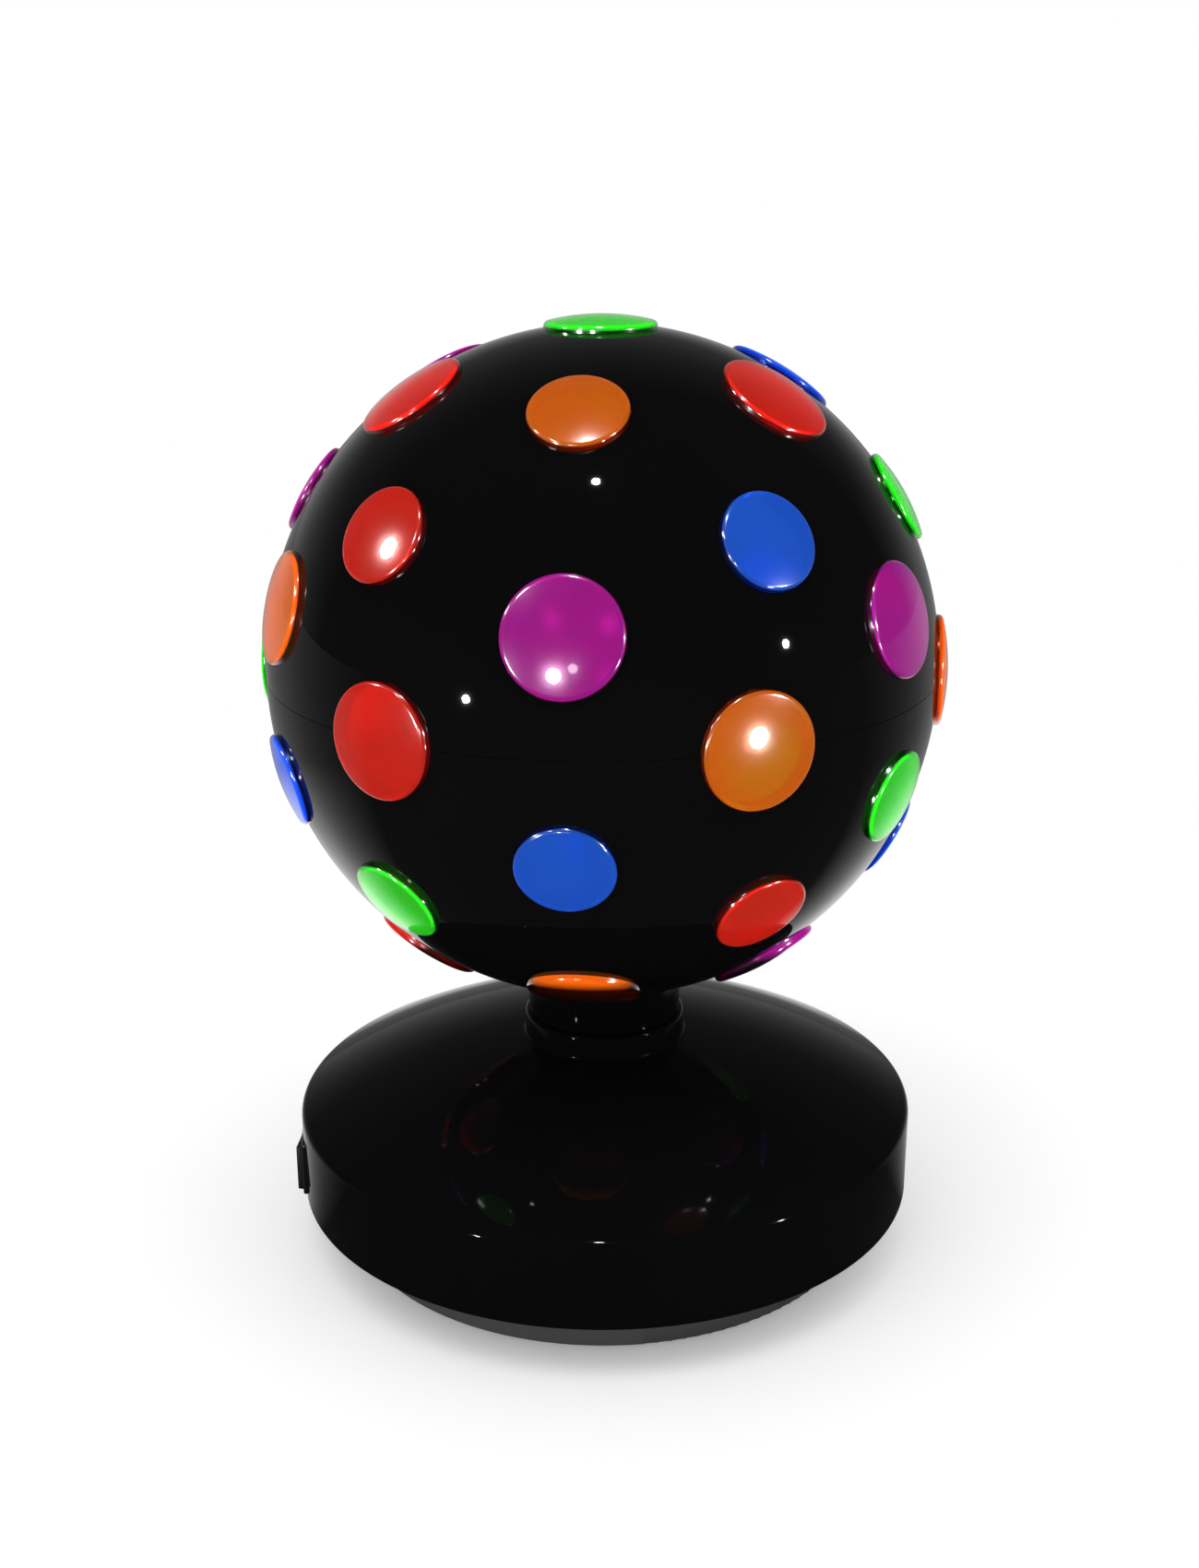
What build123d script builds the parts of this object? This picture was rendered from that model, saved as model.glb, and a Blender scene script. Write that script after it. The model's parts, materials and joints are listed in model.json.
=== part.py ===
from build123d import *
from math import acos, asin, atan2, cos, degrees, hypot, pi, radians, sin, sqrt, tan
import os

os.makedirs("parts", exist_ok=True)

# Party light: a glossy ball with 43 coloured lenses that turns on a fixed hollow post above a
# round base. A gearmotor in the base drives the ball through a pinion and a gear, and a core of
# light sources stands still inside the ball. All sizes are in millimetres. The origin is the
# centre of the face that the light stands on, +Z is up, the rocker switch is on -X and the
# power socket on +Y.

# Clearances
seat_gap = 0.05         # fixed piece in its seat, per side
run_gap = 0.05          # turning piece on its shaft, per side
axial_gap = 0.1         # end play of a turning piece
free_gap = 0.3          # room between a moving piece and its surroundings
overrun = 1.0           # how far a cut reaches past the face that it opens

# Ball
ball_radius = 100.0
ball_wall = 2.0
seam_gap = 0.1
lip_depth = 3.0
lip_root = 4.0
lip_thickness = 1.5
pad_thickness = 3.0

# Lenses, seen as round buttons that stand proud of the ball
large_lens_radius = 16.35
small_lens_radius = 13.85
lens_rise = 2.6
lens_rim_rise = 1.9
lens_rim_round = 1.0
lens_wall = 1.6
lens_flange_width = 1.5
lens_flange_thickness = 1.2

# Places of the lenses in degrees: the latitude of each ring and its turns from the pattern's front
pattern_angle = -12.2
ring_a_latitude_angle = 55.6
ring_b_latitude_angle = 31.0
ring_c_front_latitude_angle = 18.2
ring_c_side_latitude_angle = 14.7
ring_a_turn_angle = 64.0
ring_b_turn_angle = 36.2
ring_c_turn_angle = 63.2
ring_d_turn_angle = 30.0

# Base cover: wall, domed top and fixed collar
base_radius = 96.9
base_draft = 0.3
wall_height = 27.0
rim_round = 1.5
cover_wall = 2.2
dome_rise = 21.9
dome_crown = 3.8
collar_foot_radius = 25.2
collar_draft = 0.3
collar_height = 7.5
collar_round = 1.0
cover_boss_radius = 4.0

# Base plate, a pan with a flange that closes the cover, and rubber feet
foot_height = 1.2
foot_radius = 6.0
foot_recess = 1.0
foot_inset = 9.5
foot_angle = 75.0
foot_round = 0.4
pan_radius = 81.5
pan_wall = 2.5
pan_depth = 15.2
pan_round = 0.6
plate_gap = 0.2
plate_floor = 3.0
plate_flange_thickness = 2.0
plate_lip_width = 2.8
plate_lip_overlap = 4.4
plate_boss_radius = 5.2
plate_boss_height = 6.0

# Screws
screw_radius = 1.5
screw_head_radius = 2.6
screw_head_height = 2.0
screw_slot_width = 0.8
screw_slot_depth = 0.9
base_screw_length = 12.0
base_screw_inset = 9.5
base_screw_angle = 30.0
post_screw_length = 4.5
gear_screw_length = 10.0
hub_screw_length = 12.0
motor_screw_length = 8.0
board_screw_length = 6.0
core_screw_length = 8.0

# Turning neck of the ball
neck_gap = 0.6
neck_radius = 23.8
neck_height = 14.6
neck_wall = 2.4
neck_web = 4.0
sleeve_radius = 17.0
sleeve_room = 1.0
sleeve_length = 19.0
spigot_radius = 15.0
spigot_height = 6.0
hub_screw_circle_radius = 19.2
hub_boss_radius = 2.7
gear_seat_radius = 11.5

# Fixed post, bushes, washer and clip
post_radius = 6.0
post_bore_radius = 4.0
post_foot_radius = 9.0
post_flange_radius = 16.0
post_flange_thickness = 3.0
post_screw_circle_radius = 12.4
bush_wall = 2.0
bush_length = 12.0
bush_flange_radius = 9.0
bush_flange_thickness = 1.2
washer_thickness = 0.8
clip_thickness = 1.0
clip_groove_depth = 0.6
clip_radius = 8.2
clip_opening = 5.0
slot_width = 5.6
slot_height = 6.4

# Gears
gear_module = 1.0
hub_gear_teeth = 60
pinion_teeth = 20
pressure_angle = 20.0
tooth_backlash = 0.15
dedendum_share = 1.25
gear_thickness = 5.0
pinion_thickness = 6.5
gear_web_thickness = 2.4
gear_hub_radius = 18.5
gear_rim_width = 3.0
gear_window_radius = 3.0
gear_screw_circle_radius = 14.6
gear_screw_recess = 2.2

# Gearmotor
motor_radius = 25.0
motor_height = 16.0
motor_lid_thickness = 1.2
motor_top_drop = 8.5
motor_boss_radius = 6.0
motor_boss_height = 3.0
motor_round = 1.0
motor_shaft_radius = 3.0
motor_shaft_depth = 8.0
motor_ear_distance = 30.0
motor_ear_radius = 4.5
motor_pillar_radius = 3.5
motor_exit_reach = 22.0
motor_exit_width = 7.0
motor_exit_height = 5.0

# Controls in the wall, and the flats that they sit on
control_height = 9.45
flat_depth = 0.7

# Rocker switch
bezel_length = 22.0
bezel_height = 17.4
bezel_proud = 0.6
bezel_corner = 1.2
bezel_chamfer = 0.4
switch_body_length = 21.2
switch_body_height = 16.4
switch_body_depth = 14.0
rocker_end_radius = 9.7
rocker_height = 14.6
rocker_face = 2.6
rocker_dish = 0.3
rocker_back = 2.0
rocker_pivot_depth = 1.6
rocker_tilt_angle = 8.0
rocker_pin_radius = 1.0
blade_length = 7.0
blade_width = 4.8
blade_thickness = 0.8
blade_pitch = 7.0

# Power socket
jack_flange_radius = 6.5
jack_flange_thickness = 2.0
jack_thread_radius = 5.5
jack_length = 13.0
jack_tail_radius = 4.2
jack_tail_length = 4.0
jack_bore_radius = 2.8
jack_bore_depth = 9.5
jack_pin_radius = 1.05
jack_pin_inset = 1.0
jack_tag_length = 3.0
nut_across_flats = 14.0
nut_thickness = 2.5

# Driver board
board_x = -34.0
board_y = 33.0
board_length = 50.0
board_width = 36.0
board_thickness = 1.6
board_corner = 2.0
board_stand = 6.0
board_stand_radius = 3.0
board_screw_inset = 3.0
switch_plug_shares = (-0.38, -0.16)
jack_plug_shares = (-0.12, 0.33)
motor_plug_shares = (0.24, -0.39)
lamp_plug_shares = (0.0, -0.33)
capacitor_shares = (-0.34, 0.14)
coil_shares = (0.28, 0.14)
chip_shares = [(-0.04, 0.0), (0.28, -0.08)]
plug_entry_share = 0.6
capacitor_radius = 5.0
capacitor_height = 12.0
capacitor_round = 0.8
coil_radius = 4.0
coil_height = 6.0
chip_length = 10.0
chip_width = 6.0
chip_height = 1.8
connector_length = 6.4
connector_width = 5.0
connector_height = 5.0

# Light core
core_across_flats = 30.0
core_height = 56.0
core_socket_depth = 12.0
core_bevel = 1.0
led_board_width = 14.0
led_board_length = 50.0
led_board_thickness = 1.6
led_size = 5.0
led_height = 1.2
led_pitch = 16.0
dome_radius_led = 2.3
core_screw_height = 6.0

# Wires
wire_radius = 0.6
wire_pair = 1.3
wire_bend = 3.5
lamp_wire_height = 28.0

# Heights that follow from the sizes above
plate_bottom_z = foot_height
plate_top_z = plate_bottom_z + plate_floor
cover_bottom_z = plate_bottom_z + pan_depth
rim_z = cover_bottom_z + wall_height
collar_foot_z = rim_z + dome_rise
collar_top_z = collar_foot_z + collar_height
neck_bottom_z = collar_top_z + neck_gap
neck_top_z = neck_bottom_z + neck_height
ball_z = neck_top_z + sqrt(ball_radius**2 - neck_radius**2)
spigot_top_z = neck_top_z + spigot_height
gear_top_z = neck_bottom_z - sleeve_length
gear_bottom_z = gear_top_z - gear_thickness
hub_bore_radius = post_radius + run_gap + bush_wall
bush_bottom_z = gear_bottom_z - bush_flange_thickness
washer_bottom_z = bush_bottom_z - axial_gap - washer_thickness
clip_bottom_z = spigot_top_z + bush_flange_thickness + axial_gap
core_bottom_z = ball_z - core_height / 2
post_top_z = core_bottom_z + core_socket_depth
control_z = cover_bottom_z + control_height
plate_lip_z = cover_bottom_z + plate_lip_overlap
flange_top_z = cover_bottom_z + plate_flange_thickness
flange_cut_z = control_z - switch_body_height / 2 - free_gap
boss_joint_z = plate_top_z + plate_boss_height

base_foot_radius = base_radius - base_draft
plate_radius = base_foot_radius - cover_wall - plate_gap
base_screw_circle_radius = pan_radius - base_screw_inset
foot_circle_radius = pan_radius - foot_inset
ball_inner_radius = ball_radius - ball_wall
gear_distance = gear_module * (hub_gear_teeth + pinion_teeth) / 2

# Dome of the base: an arc from the collar's foot to the rim
dome_chord = hypot(base_radius - collar_foot_radius, dome_rise)
dome_slope = atan2(dome_rise, base_radius - collar_foot_radius)
dome_radius = (dome_chord**2 / 4 + dome_crown**2) / (2 * dome_crown)
dome_centre_r = (base_radius + collar_foot_radius) / 2 - (dome_radius - dome_crown) * sin(dome_slope)
dome_centre_z = rim_z + dome_rise / 2 - (dome_radius - dome_crown) * cos(dome_slope)


def dome_point(r, inset):
    """Point of the dome's profile at radius r, inset from its outer face."""
    return (r, dome_centre_z + sqrt((dome_radius - inset) ** 2 - (r - dome_centre_r) ** 2))


def dome_arc(r_start, r_end, inset):
    """Stretch of the dome's profile between two radii."""
    points = [dome_point(r, inset) for r in (r_start, (r_start + r_end) / 2, r_end)]
    return ThreePointArc(*points)


def sphere_point(r, radius):
    """Point at distance r from the axis on the upper half of a circle about the origin."""
    return (r, sqrt(radius**2 - r**2))


def polar_point(radius, angle):
    """Point at an angle in radians."""
    return (radius * cos(angle), radius * sin(angle))


def polar_places(ring, count, turn, z=0.0, centre=(0.0, 0.0)):
    """Places on a circle about a centre, at one height."""
    angles = [radians(turn + 360 * k / count) for k in range(count)]
    return [(centre[0] + ring * cos(a), centre[1] + ring * sin(a), z) for a in angles]


def board_place(shares):
    """Place on the driver board, from shares of its length and width."""
    return (board_x + shares[0] * board_length, board_y + shares[1] * board_width)


def screw(length):
    """Slotted pan-head screw with its head's underside at z = 0 and its shank downwards."""
    with BuildPart() as body:
        with BuildSketch():
            Circle(screw_head_radius)
        extrude(amount=screw_head_height)
        fillet(body.edges().sort_by(Axis.Z)[-1], screw_head_height / 3)
        with BuildSketch():
            Circle(screw_radius)
        extrude(amount=-length)
        chamfer(body.edges().sort_by(Axis.Z)[0], screw_radius / 3)
        with Locations((0, 0, screw_head_height - screw_slot_depth)):
            Box(2 * screw_head_radius, screw_slot_width, 2 * screw_slot_depth,
                align=(Align.CENTER, Align.CENTER, Align.MIN), mode=Mode.SUBTRACT)
    return body.part


def group_of(shape, places):
    """Copies of one solid, head up, at the given places."""
    with BuildPart() as group:
        with Locations(*places):
            add(shape)
    return group


def group_upside_down(shape, places):
    """Copies of one solid, head down, at the given places."""
    with BuildPart() as group:
        with Locations(*[Location(place, (180, 0, 0)) for place in places]):
            add(shape)
    return group


# Base plate: pan, flange with an upstanding lip, screw bosses, pillars for the motor and stands for
# the board
base_screw_places = polar_places(base_screw_circle_radius, 4, base_screw_angle)
foot_places = polar_places(foot_circle_radius, 4, foot_angle)
motor_top_z = gear_bottom_z - motor_top_drop
motor_bottom_z = motor_top_z - motor_height
motor_screw_places = [(gear_distance, side * motor_ear_distance) for side in (-1, 1)]
board_bottom_z = plate_top_z + board_stand
board_top_z = board_bottom_z + board_thickness
board_hole_x = board_length / 2 - board_screw_inset
board_hole_y = board_width / 2 - board_screw_inset
board_screw_places = [
    (board_x + sx * board_hole_x, board_y + sy * board_hole_y) for sx in (-1, 1) for sy in (-1, 1)
]
nut_corner_radius = nut_across_flats / 2 / cos(radians(30))
flange_width = plate_radius - pan_radius + pan_wall
post_screw_places = polar_places(post_screw_circle_radius, 3, 0)

with BuildPart() as base_plate:
    with BuildSketch(Plane.XZ):
        with BuildLine():
            Polyline(
                (0, plate_bottom_z),
                (pan_radius, plate_bottom_z),
                (pan_radius, cover_bottom_z),
                (plate_radius, cover_bottom_z),
                (plate_radius, plate_lip_z),
                (plate_radius - plate_lip_width, plate_lip_z),
                (plate_radius - plate_lip_width, flange_top_z),
                (pan_radius - pan_wall, flange_top_z),
                (pan_radius - pan_wall, plate_top_z),
                (0, plate_top_z),
                close=True,
            )
        make_face()
    revolve(axis=Axis.Z)
    fillet(base_plate.edges().filter_by(GeomType.CIRCLE).group_by(Axis.Z)[0], pan_round)
    with BuildSketch(Plane.XY.offset(plate_top_z)):
        with Locations(*base_screw_places):
            Circle(plate_boss_radius)
    extrude(amount=plate_boss_height)
    with BuildSketch(Plane.XY.offset(plate_top_z)):
        with Locations(*motor_screw_places):
            Circle(motor_pillar_radius)
    extrude(amount=motor_top_z - plate_top_z)
    with BuildSketch(Plane.XY.offset(plate_top_z)):
        with Locations(*board_screw_places):
            Circle(board_stand_radius)
    extrude(amount=board_stand)
    with BuildSketch(Plane.XY.offset(plate_bottom_z)):
        with Locations(*base_screw_places):
            Circle(screw_head_radius + free_gap)
    extrude(amount=plate_boss_height, mode=Mode.SUBTRACT)
    with BuildSketch(Plane.XY.offset(plate_bottom_z)):
        with Locations(*base_screw_places):
            Circle(screw_radius + seat_gap)
    extrude(amount=boss_joint_z, mode=Mode.SUBTRACT)
    with BuildSketch(Plane.XY.offset(plate_bottom_z)):
        with Locations(*foot_places):
            Circle(foot_radius + seat_gap)
    extrude(amount=foot_recess, mode=Mode.SUBTRACT)
    for top_z, places, depth in (
        (plate_top_z, post_screw_places, post_screw_length - post_flange_thickness),
        (board_bottom_z, board_screw_places, board_screw_length - board_thickness),
        (motor_top_z, motor_screw_places, motor_screw_length - motor_lid_thickness),
    ):
        with BuildSketch(Plane.XY.offset(top_z)):
            with Locations(*places):
                Circle(screw_radius + seat_gap)
        extrude(amount=-(depth + seat_gap), mode=Mode.SUBTRACT)
    with BuildSketch(Plane.XY.offset(flange_cut_z)):
        with Locations((-plate_radius, 0)):
            Rectangle(2 * flange_width, switch_body_length + 2 * free_gap)
        with Locations((0, plate_radius)):
            Rectangle(2 * (nut_corner_radius + free_gap), 2 * flange_width)
    extrude(amount=plate_lip_z - flange_cut_z, mode=Mode.SUBTRACT)
base_plate.part.label = "base_plate"
export_step(base_plate.part, "parts/base_plate.step")

# Rubber feet: discs let into the plate
with BuildPart() as rubber_feet:
    with BuildSketch():
        with Locations(*foot_places):
            Circle(foot_radius)
    extrude(amount=foot_height + foot_recess)
    chamfer(rubber_feet.edges().group_by(Axis.Z)[0], foot_round)
rubber_feet.part.label = "rubber_feet"
export_step(rubber_feet.part, "parts/rubber_feet.step")

base_screws = group_upside_down(
    screw(base_screw_length), [(x, y, plate_bottom_z + plate_boss_height) for x, y, z in base_screw_places]
)
base_screws.part.label = "base_screws"
export_step(base_screws.part, "parts/base_screws.step")

# Base cover: one shell with the wall, the domed top, the fixed collar and four screw bosses
collar_radius = collar_foot_radius - collar_draft
collar_inner_radius = collar_radius - cover_wall
collar_hole_radius = sleeve_radius + sleeve_room
wall_inner_radius = base_foot_radius - cover_wall

with BuildPart() as cover_bosses:
    with BuildSketch(Plane.XY.offset(boss_joint_z)):
        with Locations(*base_screw_places):
            Circle(cover_boss_radius)
    extrude(amount=collar_top_z - boss_joint_z)
    with BuildSketch(Plane.XZ):
        with BuildLine():
            dome_start = dome_point(collar_foot_radius, cover_wall / 2)
            dome_end = dome_point(wall_inner_radius, cover_wall / 2)
            dome_arc(collar_foot_radius, wall_inner_radius, cover_wall / 2)
            Polyline(dome_end, (wall_inner_radius, 0), (collar_foot_radius, 0), dome_start)
        make_face()
    revolve(axis=Axis.Z, mode=Mode.INTERSECT)
    with BuildSketch(Plane.XY.offset(plate_bottom_z + plate_boss_height)):
        with Locations(*base_screw_places):
            Circle(screw_radius + seat_gap)
    extrude(amount=base_screw_length + seat_gap, mode=Mode.SUBTRACT)

jack_flat_y = base_foot_radius - flat_depth
switch_flat_x = base_foot_radius - flat_depth

with BuildPart() as base_cover:
    with BuildSketch(Plane.XZ) as cover_profile:
        with BuildLine():
            dome_inner_start = dome_point(collar_inner_radius, cover_wall)
            dome_inner_end = dome_point(wall_inner_radius, cover_wall)
            dome_arc(collar_foot_radius, base_radius, 0)
            Polyline(
                (base_radius, rim_z),
                (base_foot_radius, cover_bottom_z),
                (wall_inner_radius, cover_bottom_z),
                dome_inner_end,
            )
            dome_arc(collar_inner_radius, wall_inner_radius, cover_wall)
            Polyline(
                dome_inner_start,
                (collar_inner_radius, collar_top_z - cover_wall),
                (collar_hole_radius, collar_top_z - cover_wall),
                (collar_hole_radius, collar_top_z),
                (collar_radius, collar_top_z),
                (collar_foot_radius, collar_foot_z),
            )
        make_face()
        fillet(cover_profile.vertices().sort_by_distance((base_radius, rim_z))[0], rim_round)
        fillet(cover_profile.vertices().sort_by_distance((collar_radius, collar_top_z))[0], collar_round)
    revolve(axis=Axis.Z)
    add(cover_bosses.part)
    with BuildSketch(Plane.YZ.offset(-switch_flat_x)):
        with Locations((0, control_z)):
            RectangleRounded(bezel_length + 2 * seat_gap, bezel_height + 2 * seat_gap, bezel_corner)
    extrude(amount=-(overrun + flat_depth), mode=Mode.SUBTRACT)
    with BuildSketch(Plane.YZ.offset(-switch_flat_x)):
        with Locations((0, control_z)):
            Rectangle(switch_body_length + 2 * seat_gap, switch_body_height + 2 * seat_gap)
    extrude(amount=cover_wall + overrun, mode=Mode.SUBTRACT)
    with BuildSketch(Plane.XZ.offset(-jack_flat_y)):
        with Locations((0, control_z)):
            Circle(jack_flange_radius + seat_gap)
    extrude(amount=-(overrun + flat_depth), mode=Mode.SUBTRACT)
    with BuildSketch(Plane.XZ.offset(-jack_flat_y)):
        with Locations((0, control_z)):
            Circle(jack_thread_radius + seat_gap)
    extrude(amount=cover_wall + overrun, mode=Mode.SUBTRACT)
base_cover.part.label = "base_cover"
export_step(base_cover.part, "parts/base_cover.step")

# Fixed post: flange on the plate, thick foot with a slot for the wires, and the shaft of the ball
lamp_plug = board_place(lamp_plug_shares)
wire_angle = atan2(lamp_plug[1], lamp_plug[0])

with BuildPart() as lamp_post:
    with BuildSketch(Plane.XZ):
        with BuildLine():
            Polyline(
                (post_bore_radius, plate_top_z),
                (post_flange_radius, plate_top_z),
                (post_flange_radius, plate_top_z + post_flange_thickness),
                (post_foot_radius, plate_top_z + post_flange_thickness),
                (post_foot_radius, washer_bottom_z),
                (post_radius, washer_bottom_z),
                (post_radius, clip_bottom_z),
                (post_radius - clip_groove_depth, clip_bottom_z),
                (post_radius - clip_groove_depth, clip_bottom_z + clip_thickness),
                (post_radius, clip_bottom_z + clip_thickness),
                (post_radius, post_top_z),
                (post_bore_radius, post_top_z),
                close=True,
            )
        make_face()
    revolve(axis=Axis.Z)
    with BuildSketch(Plane.XY.offset(plate_top_z)):
        with Locations(*post_screw_places):
            Circle(screw_radius + seat_gap)
    extrude(amount=post_flange_thickness, mode=Mode.SUBTRACT)
    with Locations(Location((0, 0, lamp_wire_height), (0, 0, degrees(wire_angle)))):
        Box(post_foot_radius + overrun, slot_width, slot_height,
            align=(Align.MIN, Align.CENTER, Align.CENTER), mode=Mode.SUBTRACT)
lamp_post.part.label = "lamp_post"
export_step(lamp_post.part, "parts/lamp_post.step")

post_screws = group_of(
    screw(post_screw_length), [(x, y, plate_top_z + post_flange_thickness) for x, y, z in post_screw_places]
)
post_screws.part.label = "post_screws"
export_step(post_screws.part, "parts/post_screws.step")

# Thrust washer on the post's shoulder
with BuildPart() as thrust_washer:
    with BuildSketch(Plane.XY.offset(washer_bottom_z)):
        Circle(post_foot_radius)
        Circle(post_radius + seat_gap, mode=Mode.SUBTRACT)
    extrude(amount=washer_thickness)
thrust_washer.part.label = "thrust_washer"
export_step(thrust_washer.part, "parts/thrust_washer.step")

# Clip in the post's groove, above the hub
with BuildPart() as post_clip:
    with BuildSketch(Plane.XY.offset(clip_bottom_z)):
        Circle(clip_radius)
        Circle(post_radius - clip_groove_depth + seat_gap, mode=Mode.SUBTRACT)
        with Locations((clip_radius, 0)):
            Rectangle(2 * clip_radius, clip_opening, mode=Mode.SUBTRACT)
    extrude(amount=clip_thickness)
post_clip.part.label = "post_clip"
export_step(post_clip.part, "parts/post_clip.step")


# Gears
def gear_face(teeth, turn):
    """Face of a spur gear with flanks drawn as arcs through three points of the involute."""
    pitch_radius = gear_module * teeth / 2
    tip_radius = pitch_radius + gear_module
    root_radius = pitch_radius - dedendum_share * gear_module
    base_circle = pitch_radius * cos(radians(pressure_angle))
    flank_radius = max(root_radius, base_circle)
    roll = radians(pressure_angle)
    half_tooth = pi / (2 * teeth) - tooth_backlash / (2 * pitch_radius) + tan(roll) - roll

    def half_angle(radius):
        """Half the tooth's angle at a radius."""
        lean = acos(min(1.0, base_circle / radius))
        return half_tooth - (tan(lean) - lean)

    flank = [(r, half_angle(r)) for r in (flank_radius, pitch_radius, tip_radius)]
    inner = (root_radius - gear_module / 2, flank[0][1])
    with BuildSketch(mode=Mode.PRIVATE) as tooth:
        with BuildLine():
            ThreePointArc(*[polar_point(r, -a) for r, a in flank])
            ThreePointArc(*[polar_point(r, a) for r, a in flank])
            ThreePointArc(
                polar_point(tip_radius, -flank[2][1]), (tip_radius, 0), polar_point(tip_radius, flank[2][1])
            )
            Polyline(
                polar_point(flank_radius, -inner[1]),
                polar_point(inner[0], -inner[1]),
                polar_point(inner[0], inner[1]),
                polar_point(flank_radius, inner[1]),
            )
        make_face()
    with BuildSketch(mode=Mode.PRIVATE) as gear:
        Circle(root_radius)
        with PolarLocations(0, teeth, start_angle=turn):
            add(tooth.sketch)
    return gear.sketch


gear_root_radius = gear_module * (hub_gear_teeth / 2 - dedendum_share)
gear_rim_radius = gear_root_radius - gear_rim_width
gear_recess = (gear_thickness - gear_web_thickness) / 2
gear_screw_places = polar_places(gear_screw_circle_radius, 3, 0)

with BuildPart() as hub_gear:
    with BuildSketch(Plane.XY.offset(gear_bottom_z)):
        add(gear_face(hub_gear_teeth, 0))
        Circle(gear_seat_radius + seat_gap, mode=Mode.SUBTRACT)
    extrude(amount=gear_thickness)
    for height in (gear_bottom_z, gear_top_z - gear_recess):
        with BuildSketch(Plane.XY.offset(height)):
            Circle(gear_rim_radius)
            Circle(gear_hub_radius, mode=Mode.SUBTRACT)
        extrude(amount=gear_recess, mode=Mode.SUBTRACT)
    with BuildSketch(Plane.XY.offset(gear_bottom_z)):
        with PolarLocations((gear_rim_radius + gear_hub_radius) / 2, 6):
            Circle(gear_window_radius)
    extrude(amount=gear_thickness, mode=Mode.SUBTRACT)
    with BuildSketch(Plane.XY.offset(gear_bottom_z)):
        with Locations(*gear_screw_places):
            Circle(screw_radius + seat_gap)
    extrude(amount=gear_thickness, mode=Mode.SUBTRACT)
    with BuildSketch(Plane.XY.offset(gear_bottom_z)):
        with Locations(*gear_screw_places):
            Circle(screw_head_radius + free_gap)
    extrude(amount=gear_screw_recess, mode=Mode.SUBTRACT)
hub_gear.part.label = "hub_gear"
export_step(hub_gear.part, "parts/hub_gear.step")

gear_screws = group_upside_down(
    screw(gear_screw_length), [(x, y, gear_bottom_z + gear_screw_recess) for x, y, z in gear_screw_places]
)
gear_screws.part.label = "gear_screws"
export_step(gear_screws.part, "parts/gear_screws.step")

pinion_bottom_z = gear_bottom_z - (pinion_thickness - gear_thickness) / 2
with BuildPart() as drive_pinion:
    with BuildSketch(Plane.XY.offset(pinion_bottom_z)):
        with Locations((gear_distance, 0)):
            add(gear_face(pinion_teeth, 180 / pinion_teeth))
            Circle(motor_shaft_radius + seat_gap, mode=Mode.SUBTRACT)
    extrude(amount=pinion_thickness)
drive_pinion.part.label = "drive_pinion"
export_step(drive_pinion.part, "parts/drive_pinion.step")

with BuildPart() as motor_shaft:
    with BuildSketch(Plane.XY.offset(motor_top_z - motor_shaft_depth)):
        with Locations((gear_distance, 0)):
            Circle(motor_shaft_radius)
    extrude(amount=pinion_bottom_z + pinion_thickness - motor_top_z + motor_shaft_depth)
    chamfer(motor_shaft.edges().group_by(Axis.Z)[-1], motor_shaft_radius / 6)
motor_shaft.part.label = "motor_shaft"
export_step(motor_shaft.part, "parts/motor_shaft.step")

# Gearmotor: round can with a box where its wires come out, and a lid with ears and the bearing boss
motor_plug = board_place(motor_plug_shares)
motor_wire_z = (motor_bottom_z + motor_top_z) / 2

with BuildPart() as motor_can:
    with BuildSketch(Plane.XY.offset(motor_bottom_z)):
        with Locations((gear_distance, 0)):
            Circle(motor_radius)
    extrude(amount=motor_height)
    fillet(motor_can.edges().group_by(Axis.Z)[0], motor_round)
    with BuildSketch(Plane.YZ.offset(gear_distance - motor_exit_reach)):
        with Locations((motor_plug[1], motor_wire_z)):
            Rectangle(motor_exit_width, motor_exit_height)
    extrude(amount=motor_exit_reach / 2)
    with BuildSketch(Plane.XY.offset(motor_top_z)):
        with Locations((gear_distance, 0)):
            Circle(motor_shaft_radius + run_gap)
    extrude(amount=-(motor_shaft_depth + axial_gap), mode=Mode.SUBTRACT)
motor_can.part.label = "motor_can"
export_step(motor_can.part, "parts/motor_can.step")

with BuildPart() as motor_lid:
    with BuildSketch(Plane.XY.offset(motor_top_z)):
        with Locations((gear_distance, 0)):
            Circle(motor_radius)
            Rectangle(2 * motor_ear_radius, 2 * motor_ear_distance)
        with Locations(*motor_screw_places):
            Circle(motor_ear_radius)
    extrude(amount=motor_lid_thickness)
    with BuildSketch(Plane.XY.offset(motor_top_z + motor_lid_thickness)):
        with Locations((gear_distance, 0)):
            Circle(motor_boss_radius)
    extrude(amount=motor_boss_height)
    with BuildSketch(Plane.XY.offset(motor_top_z)):
        with Locations((gear_distance, 0)):
            Circle(motor_shaft_radius + run_gap)
        with Locations(*motor_screw_places):
            Circle(screw_radius + seat_gap)
    extrude(amount=motor_lid_thickness + motor_boss_height, mode=Mode.SUBTRACT)
motor_lid.part.label = "motor_lid"
export_step(motor_lid.part, "parts/motor_lid.step")

motor_screws = group_of(
    screw(motor_screw_length), [(x, y, motor_top_z + motor_lid_thickness) for x, y in motor_screw_places]
)
motor_screws.part.label = "motor_screws"
export_step(motor_screws.part, "parts/motor_screws.step")

# Turning neck: barrel under the ball, sleeve through the collar and seat for the gear
hub_screw_places = polar_places(hub_screw_circle_radius, 4, 0)
pocket_outer_radius = neck_radius - neck_wall

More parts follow.
